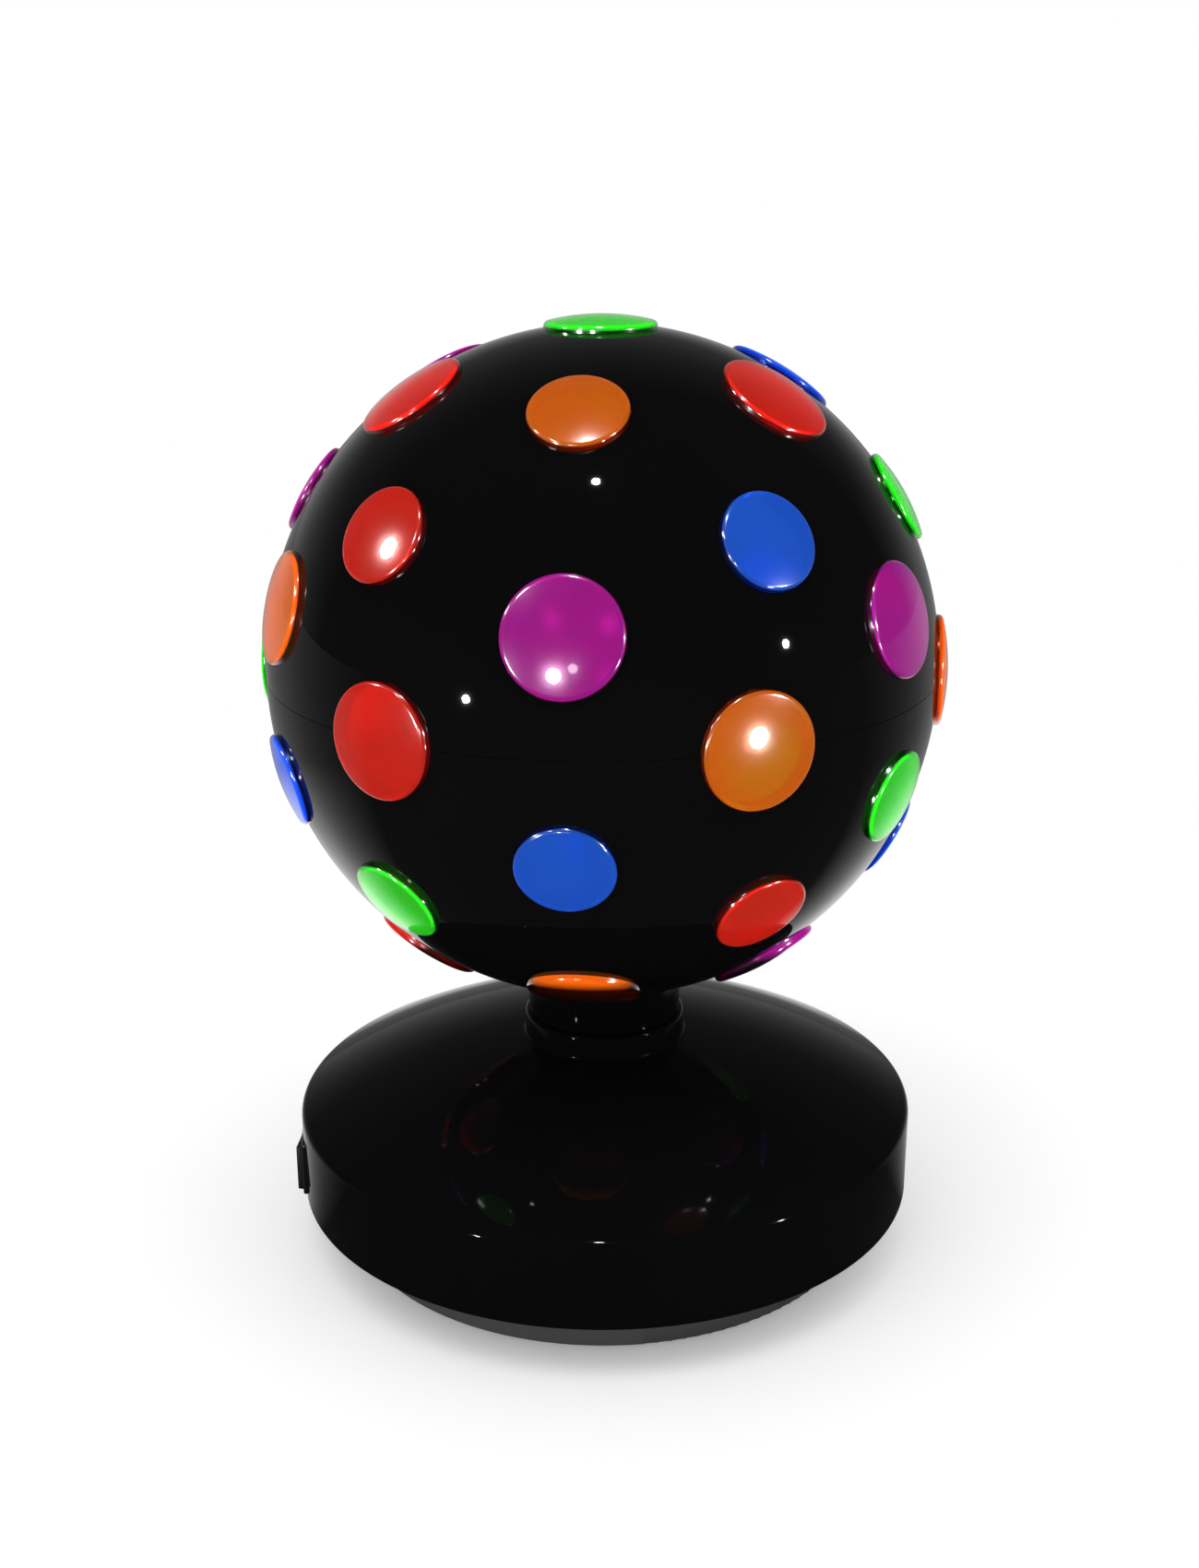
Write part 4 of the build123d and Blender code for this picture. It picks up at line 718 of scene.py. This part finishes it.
def lens_profile(ball, radius):
    """A lens's outline about Z, measured from the ball's centre, and its rim's index."""
    rim_z = math.sqrt(ball.radius**2 - radius**2) + ball.rim_rise
    crown_z = ball.radius + ball.lens_rise
    drop = crown_z - rim_z
    crown = (radius**2 + drop**2) / (2 * drop)
    centre = (0, crown_z - crown)
    lean = math.asin(radius / crown)
    seat = ball.radius - ball.wall - SEAM_GAP
    flange = radius + ball.flange_width
    bore = radius - ball.lens_wall
    inner = crown - ball.lens_wall
    inner_lean = math.asin(bore / inner)
    outer = arc(centre, crown, math.pi / 2, math.pi / 2 - lean, 12)
    inside = arc(centre, inner, math.pi / 2 - inner_lean, math.pi / 2, 10)
    skirt_z = math.sqrt(seat**2 - radius**2)
    flange_z = math.sqrt(seat**2 - flange**2)
    points = outer + [
        (radius, skirt_z),
        (flange, flange_z),
        (flange, flange_z - ball.flange_thickness),
        (bore, flange_z - ball.flange_thickness),
    ] + inside
    return points, len(outer) - 1


class LIGHT_OT_ball_shells(bpy.types.Operator):
    """Adds the two halves of the ball, with their lens holes"""

    bl_idname = "light.ball_shells"
    bl_label = "Ball shells"

    def execute(self, context):
        ball = context.scene.light_ball
        steps = context.scene.light_stage.segments
        outer, inner = ball.radius, ball.radius - ball.wall
        chamfer = ball.seam
        seam_lean = math.asin(chamfer / outer)
        upper = arc((0, 0), outer, math.pi / 2, seam_lean, BALL_STEPS)
        upper += [(outer - chamfer, 0)]
        upper += arc((0, 0), inner, 0, math.pi / 2, BALL_STEPS)
        bm = turned(upper, steps)
        bmesh.ops.translate(bm, verts=bm.verts[:], vec=BALL_CENTRE)
        piece = new_piece(
            "ball_upper", to_mesh(bm, "ball_upper"), "ball", "ball_black", "ball_upper_shell")
        cut(piece, hole_cutter(ball, ("upper", "equator")))

        foot_z = shell_low.z - BALL_CENTRE.z
        pad_z = foot_z + ball.pad
        neck_lean = math.asin(foot_z / outer)
        pad_lean = math.asin(pad_z / inner)
        lower = arc((0, 0), outer, -seam_lean, neck_lean, BALL_STEPS)
        lower += [(ball.pad_hole, foot_z), (ball.pad_hole, pad_z)]
        lower += arc((0, 0), inner, pad_lean, 0, BALL_STEPS)
        lower += [(outer - chamfer, 0)]
        bm = turned(lower, steps)
        bmesh.ops.translate(bm, verts=bm.verts[:], vec=BALL_CENTRE)
        piece = new_piece(
            "ball_lower", to_mesh(bm, "ball_lower"), "ball", "ball_black", "ball_lower_shell")
        cut(piece, hole_cutter(ball, ("lower", "equator")))
        return {"FINISHED"}


class LIGHT_OT_lenses(bpy.types.Operator):
    """Adds the coloured lenses, one piece for each colour and zone"""

    bl_idname = "light.lenses"
    bl_label = "Lenses"

    def execute(self, context):
        ball = context.scene.light_ball
        shapes = {}
        for size in ("large_lens", "small_lens"):
            points, rim = lens_profile(ball, getattr(ball, size))
            shapes[size] = to_mesh(turned(points, LENS_STEPS, {rim: ball.rim_round}), size)
        for zone, lenses in LENSES.items():
            for colour in COLOURS:
                bm = bmesh.new()
                for lens_colour, size, latitude, turn in lenses:
                    if lens_colour == colour:
                        placed = shapes[size].copy()
                        placed.transform(lens_matrix(latitude, turn, ball.front))
                        bm.from_mesh(placed)
                        bpy.data.meshes.remove(placed)
                name = f"{colour}_lenses_{zone}"
                new_piece(f"{colour}_{zone}", to_mesh(bm, name), "ball", f"lens_{colour}", name)
        return {"FINISHED"}


class LIGHT_OT_neck(bpy.types.Operator):
    """Adds the turning neck under the ball"""

    bl_idname = "light.neck"
    bl_label = "Neck"

    def execute(self, context):
        steps = context.scene.light_stage.segments
        barrel = (neck_high.x - neck_low.x) / 2
        top_z = shell_low.z
        web_z = top_z - NECK_WEB
        foot_z = cover_high.z + COLLAR_CLEARANCE
        seat_z = neck_low.z + NECK_SEAT_HEIGHT
        points = [
            (NECK_BORE, neck_low.z), (NECK_SEAT, neck_low.z), (NECK_SEAT, seat_z), (NECK_SLEEVE, seat_z),
            (NECK_SLEEVE, web_z), (barrel - NECK_WALL, web_z), (barrel - NECK_WALL, foot_z),
            (barrel, foot_z), (barrel, top_z), (NECK_SPIGOT, top_z), (NECK_SPIGOT, neck_high.z),
            (NECK_BORE, neck_high.z),
        ]
        outer_foot, inner_foot = 7, 6
        bm = turned(points, steps, {outer_foot: 0.0004, inner_foot: 0.0003})
        new_piece("turning_neck", to_mesh(bm, "turning_neck"), "ball", "hub_black", "neck_hub")
        return {"FINISHED"}


class LIGHT_OT_base_cover(bpy.types.Operator):
    """Adds the base cover: wall, domed top and fixed collar"""

    bl_idname = "light.base_cover"
    bl_label = "Base cover"

    def execute(self, context):
        base = context.scene.light_base
        steps = context.scene.light_stage.segments
        top = cover_high.z
        rim_z = top - base.collar_height - base.dome_rise
        low = rim_z - base.wall_height
        width = base.rim_radius - base.collar_foot
        chord = math.hypot(width, base.dome_rise)
        slope = math.atan2(base.dome_rise, width)
        radius = (chord**2 / 4 + base.dome_crown**2) / (2 * base.dome_crown)
        centre = (
            (base.rim_radius + base.collar_foot) / 2 - (radius - base.dome_crown) * math.sin(slope),
            rim_z + base.dome_rise / 2 - (radius - base.dome_crown) * math.cos(slope),
        )

        def dome(r_start, r_end, inset):
            curve = radius - inset
            start = math.acos((r_start - centre[0]) / curve)
            end = math.acos((r_end - centre[0]) / curve)
            return arc(centre, curve, start, end, DOME_STEPS)

        wall_inner = base.foot_radius - base.wall
        collar_inner = base.collar_radius - base.wall
        outer = dome(base.rim_radius, base.collar_foot, 0.0)
        inner = dome(collar_inner, wall_inner, base.wall)
        points = [(base.foot_radius, low)] + outer + [
            (base.collar_radius, top),
            (base.collar_hole, top),
            (base.collar_hole, top - base.wall),
            (collar_inner, top - base.wall),
        ] + inner + [(wall_inner, low)]
        foot, rim, collar_foot = 0, 1, len(outer)
        collar_rim, collar_edge = collar_foot + 1, collar_foot + 2
        rounded = {
            collar_edge: 0.0003, collar_rim: 0.001, collar_foot: 0.0006, rim: base.rim_round,
            foot: 0.0003,
        }
        bm = turned(points, steps, rounded)
        piece = new_piece("cover", to_mesh(bm, "cover"), "base", "cover_black", "base_cover")
        cut(piece, self.opening_cutter(base))
        return {"FINISHED"}

    def opening_cutter(self, base):
        """Flats and openings of the rocker switch and of the power socket."""
        housing_low, housing_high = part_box("switch_housing")
        jack_low, jack_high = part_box("jack_body")
        reach = OPENING_REACH
        bm = bmesh.new()
        centre = (housing_low + housing_high) / 2
        flat_x = -(base.foot_radius - base.flat)
        size = housing_high - housing_low
        for (width, height), start, end in (
            ((size.y, size.z), flat_x - reach, flat_x),
            (SWITCH_OPENING, flat_x - reach, flat_x + reach),
        ):
            made = bmesh.ops.create_cube(bm, size=1.0)["verts"]
            sides = (end - start, width + 2 * FIT_GAP, height + 2 * FIT_GAP)
            bmesh.ops.scale(bm, verts=made, vec=sides)
            bmesh.ops.translate(bm, verts=made, vec=((start + end) / 2, centre.y, centre.z))
        flat_y = base.foot_radius - base.flat
        jack_z = (jack_low.z + jack_high.z) / 2
        lay = Matrix.Rotation(math.pi / 2, 4, "X")
        for radius, start, end in (
            ((jack_high.x - jack_low.x) / 2 + FIT_GAP, flat_y, flat_y + reach),
            (SOCKET_OPENING + FIT_GAP, flat_y - reach, flat_y + reach),
        ):
            bmesh.ops.create_cone(
                bm, cap_ends=True, segments=64, radius1=radius, radius2=radius, depth=end - start,
                matrix=Matrix.Translation((0, (start + end) / 2, jack_z)) @ lay)
        mesh = bpy.data.meshes.new("openings")
        bm.to_mesh(mesh)
        bm.free()
        return mesh


class LIGHT_OT_base_plate(bpy.types.Operator):
    """Adds the base plate and the rubber feet with broken edges"""

    bl_idname = "light.base_plate"
    bl_label = "Base plate and feet"

    def execute(self, context):
        refined("base_plate", rounding=0.0002)
        refined("rubber_feet", rounding=0.0003)
        return {"FINISHED"}


class LIGHT_OT_switch(bpy.types.Operator):
    """Adds the rocker switch with rounded edges"""

    bl_idname = "light.rocker_switch"
    bl_label = "Rocker switch"

    def execute(self, context):
        refined("switch_housing", rounding=0.0002)
        refined("switch_rocker", rounding=0.0004)
        refined("rocker_pin")
        refined("switch_blades")
        return {"FINISHED"}


class LIGHT_OT_power_socket(bpy.types.Operator):
    """Adds the power socket in the back of the base"""

    bl_idname = "light.power_socket"
    bl_label = "Power socket"

    def execute(self, context):
        refined("jack_body", rounding=0.0002)
        refined("jack_pin", rounding=0.0001)
        refined("jack_nut", rounding=0.0002)
        return {"FINISHED"}


class LIGHT_OT_inner_parts(bpy.types.Operator):
    """Adds the lamp core, the drive, the board, the wires and the screws"""

    bl_idname = "light.inner_parts"
    bl_label = "Inner parts"

    def execute(self, context):
        for node in INNER_PARTS:
            refined(node)
        return {"FINISHED"}


class LIGHT_OT_stage(bpy.types.Operator):
    """Adds the floor, the lamps, the world and the camera"""

    bl_idname = "light.stage"
    bl_label = "Stage"

    def execute(self, context):
        settings = context.scene.light_stage
        self.floor()
        self.world(context.scene)
        self.lamps()
        self.camera(context.scene, settings)
        context.scene.view_settings.view_transform = "Standard"
        return {"FINISHED"}

    def floor(self):
        bm = bmesh.new()
        bmesh.ops.create_circle(bm, cap_ends=True, segments=96, radius=FLOOR_RADIUS)
        mesh = bpy.data.meshes.new("floor")
        bm.to_mesh(mesh)
        bm.free()
        floor = bpy.data.objects.new("floor", mesh)
        bpy.context.scene.collection.objects.link(floor)
        f = Finish(bpy.data.materials.new("floor_white"))
        white, black = (1.0, 1.0, 1.0, 1.0), (0.0, 0.0, 0.0, 1.0)
        seen, mirrored = light_paths(f)
        shown = seen + mirrored
        tone = f.mix(shown, (0.8, 0.8, 0.8), (1.0, 1.0, 1.0))
        diffuse = f.node("ShaderNodeBsdfDiffuse", inputs={"Color": tone})
        lift = f.node("ShaderNodeEmission", inputs={"Color": white, "Strength": shown * FLOOR_LIFT})
        near = f.node("ShaderNodeAddShader", inputs={0: diffuse, 1: lift})
        away = f.length(f.place)
        far = seen * f.spread(away, 0.0, 1.0, 0.2, 0.5)
        blank = f.node("ShaderNodeEmission", inputs={"Color": white, "Strength": 1.0})
        pale = f.node("ShaderNodeMixShader", inputs={0: far, 1: near, 2: blank})
        # In mirrors the floor is dark in front of the light and, farther off, also behind it
        behind = f.node("ShaderNodeMath", {"operation": "DIVIDE"}, {0: f.axis("Y"), 1: away})
        rest = f.spread(away, 0.0, 0.74, 0.2, 0.45)
        dim = mirrored * f.spread(behind, 0.96, rest, -0.1, 0.6)
        dark = f.node("ShaderNodeEmission", inputs={"Color": black, "Strength": 0.0})
        both = f.node("ShaderNodeMixShader", inputs={0: dim, 1: pale, 2: dark})
        f.node("ShaderNodeOutputMaterial", inputs={"Surface": both})
        mesh.materials.append(f.owner)

    def world(self, scene):
        scene.world = bpy.data.worlds.new("studio")
        f = Finish(scene.world, "Generated")
        seen, mirrored = light_paths(f)
        # Gloss shows a bright strip low behind the light and little elsewhere
        backdrop = f.spread(f.axis("Y"), 0.03, 0.42, 0.4, 1.0)
        backdrop *= f.spread(f.axis("Z"), 1.0, 0.35, 0.03, 0.35)
        strength = seen + mirrored * backdrop + (1 - seen - mirrored) * 0.8
        ground = f.node("ShaderNodeBackground", inputs={"Color": (1, 1, 1, 1), "Strength": strength})
        f.node("ShaderNodeOutputWorld", inputs={"Surface": ground})

    def lamps(self):
        for name, azimuth, elevation, distance, size, power in SOFT_LAMPS:
            lamp = self.lamp(name, azimuth, elevation, distance, power)
            lamp.data.shape = "SQUARE"
            lamp.data.size = size
            lamp.visible_glossy = False
        clear = bpy.data.collections.new("clear_pieces")
        for zone in LENSES:
            for colour in COLOURS:
                clear.objects.link(bpy.data.objects[f"{colour}_{zone}"])
        for number, (azimuth, elevation, distance, size, radiance, lenses_only) in enumerate(SPARKS):
            power = radiance * math.pi**2 * size**2 / 4
            spark = self.lamp(f"spark_{number}", azimuth, elevation, distance, power)
            spark.data.shape = "DISK"
            spark.data.size = size
            spark.visible_diffuse = False
            if lenses_only:
                spark.light_linking.receiver_collection = clear

    def lamp(self, name, azimuth, elevation, distance, power):
        """An area lamp that looks at the ball's centre from a direction."""
        away = towards(math.radians(azimuth), math.radians(elevation))
        data = bpy.data.lights.new(name, "AREA")
        data.energy = power
        lamp = bpy.data.objects.new(name, data)
        bpy.context.scene.collection.objects.link(lamp)
        lamp.visible_camera = False
        lamp.location = BALL_CENTRE + away * distance
        lamp.rotation_euler = away.to_track_quat("Z", "Y").to_euler()
        return lamp

    def camera(self, scene, settings):
        data = bpy.data.cameras.new("camera")
        data.lens = settings.camera_lens
        data.sensor_width = 36.0
        data.clip_start = 0.01
        camera = bpy.data.objects.new("camera", data)
        scene.collection.objects.link(camera)
        away = towards(settings.camera_turn, settings.camera_height)
        camera.matrix_world = (
            Matrix.Translation(BALL_CENTRE + away * settings.camera_distance)
            @ Matrix.Rotation(settings.camera_yaw, 4, "Z")
            @ Matrix.Rotation(math.pi / 2 - settings.camera_pitch, 4, "X")
            @ Matrix.Rotation(settings.camera_roll, 4, "Z")
        )
        scene.camera = camera


OPERATORS = (
    LIGHT_OT_ball_shells,
    LIGHT_OT_lenses,
    LIGHT_OT_neck,
    LIGHT_OT_base_cover,
    LIGHT_OT_base_plate,
    LIGHT_OT_switch,
    LIGHT_OT_power_socket,
    LIGHT_OT_inner_parts,
    LIGHT_OT_stage,
)


class LIGHT_PT_panel(bpy.types.Panel):
    """Lists the sizes, the finishes and the pieces"""

    bl_label = "Disco light"
    bl_idname = "LIGHT_PT_panel"
    bl_space_type = "VIEW_3D"
    bl_region_type = "UI"
    bl_category = "Disco light"

    def draw(self, context):
        for name, group in GROUPS:
            settings = getattr(context.scene, name)
            box = self.layout.box()
            for key in group.__annotations__:
                box.prop(settings, key)
        for operator in OPERATORS:
            self.layout.operator(operator.bl_idname)


CLASSES = tuple(group for _, group in GROUPS) + OPERATORS + (LIGHT_PT_panel,)


def register():
    for cls in CLASSES:
        bpy.utils.register_class(cls)
    for name, group in GROUPS:
        setattr(bpy.types.Scene, name, PointerProperty(type=group))


def unregister():
    for name, _ in GROUPS:
        delattr(bpy.types.Scene, name)
    for cls in reversed(CLASSES):
        bpy.utils.unregister_class(cls)


def main():
    register()
    for operator in OPERATORS:
        group, name = operator.bl_idname.split(".")
        getattr(getattr(bpy.ops, group), name)()


if __name__ == "__main__":
    main()
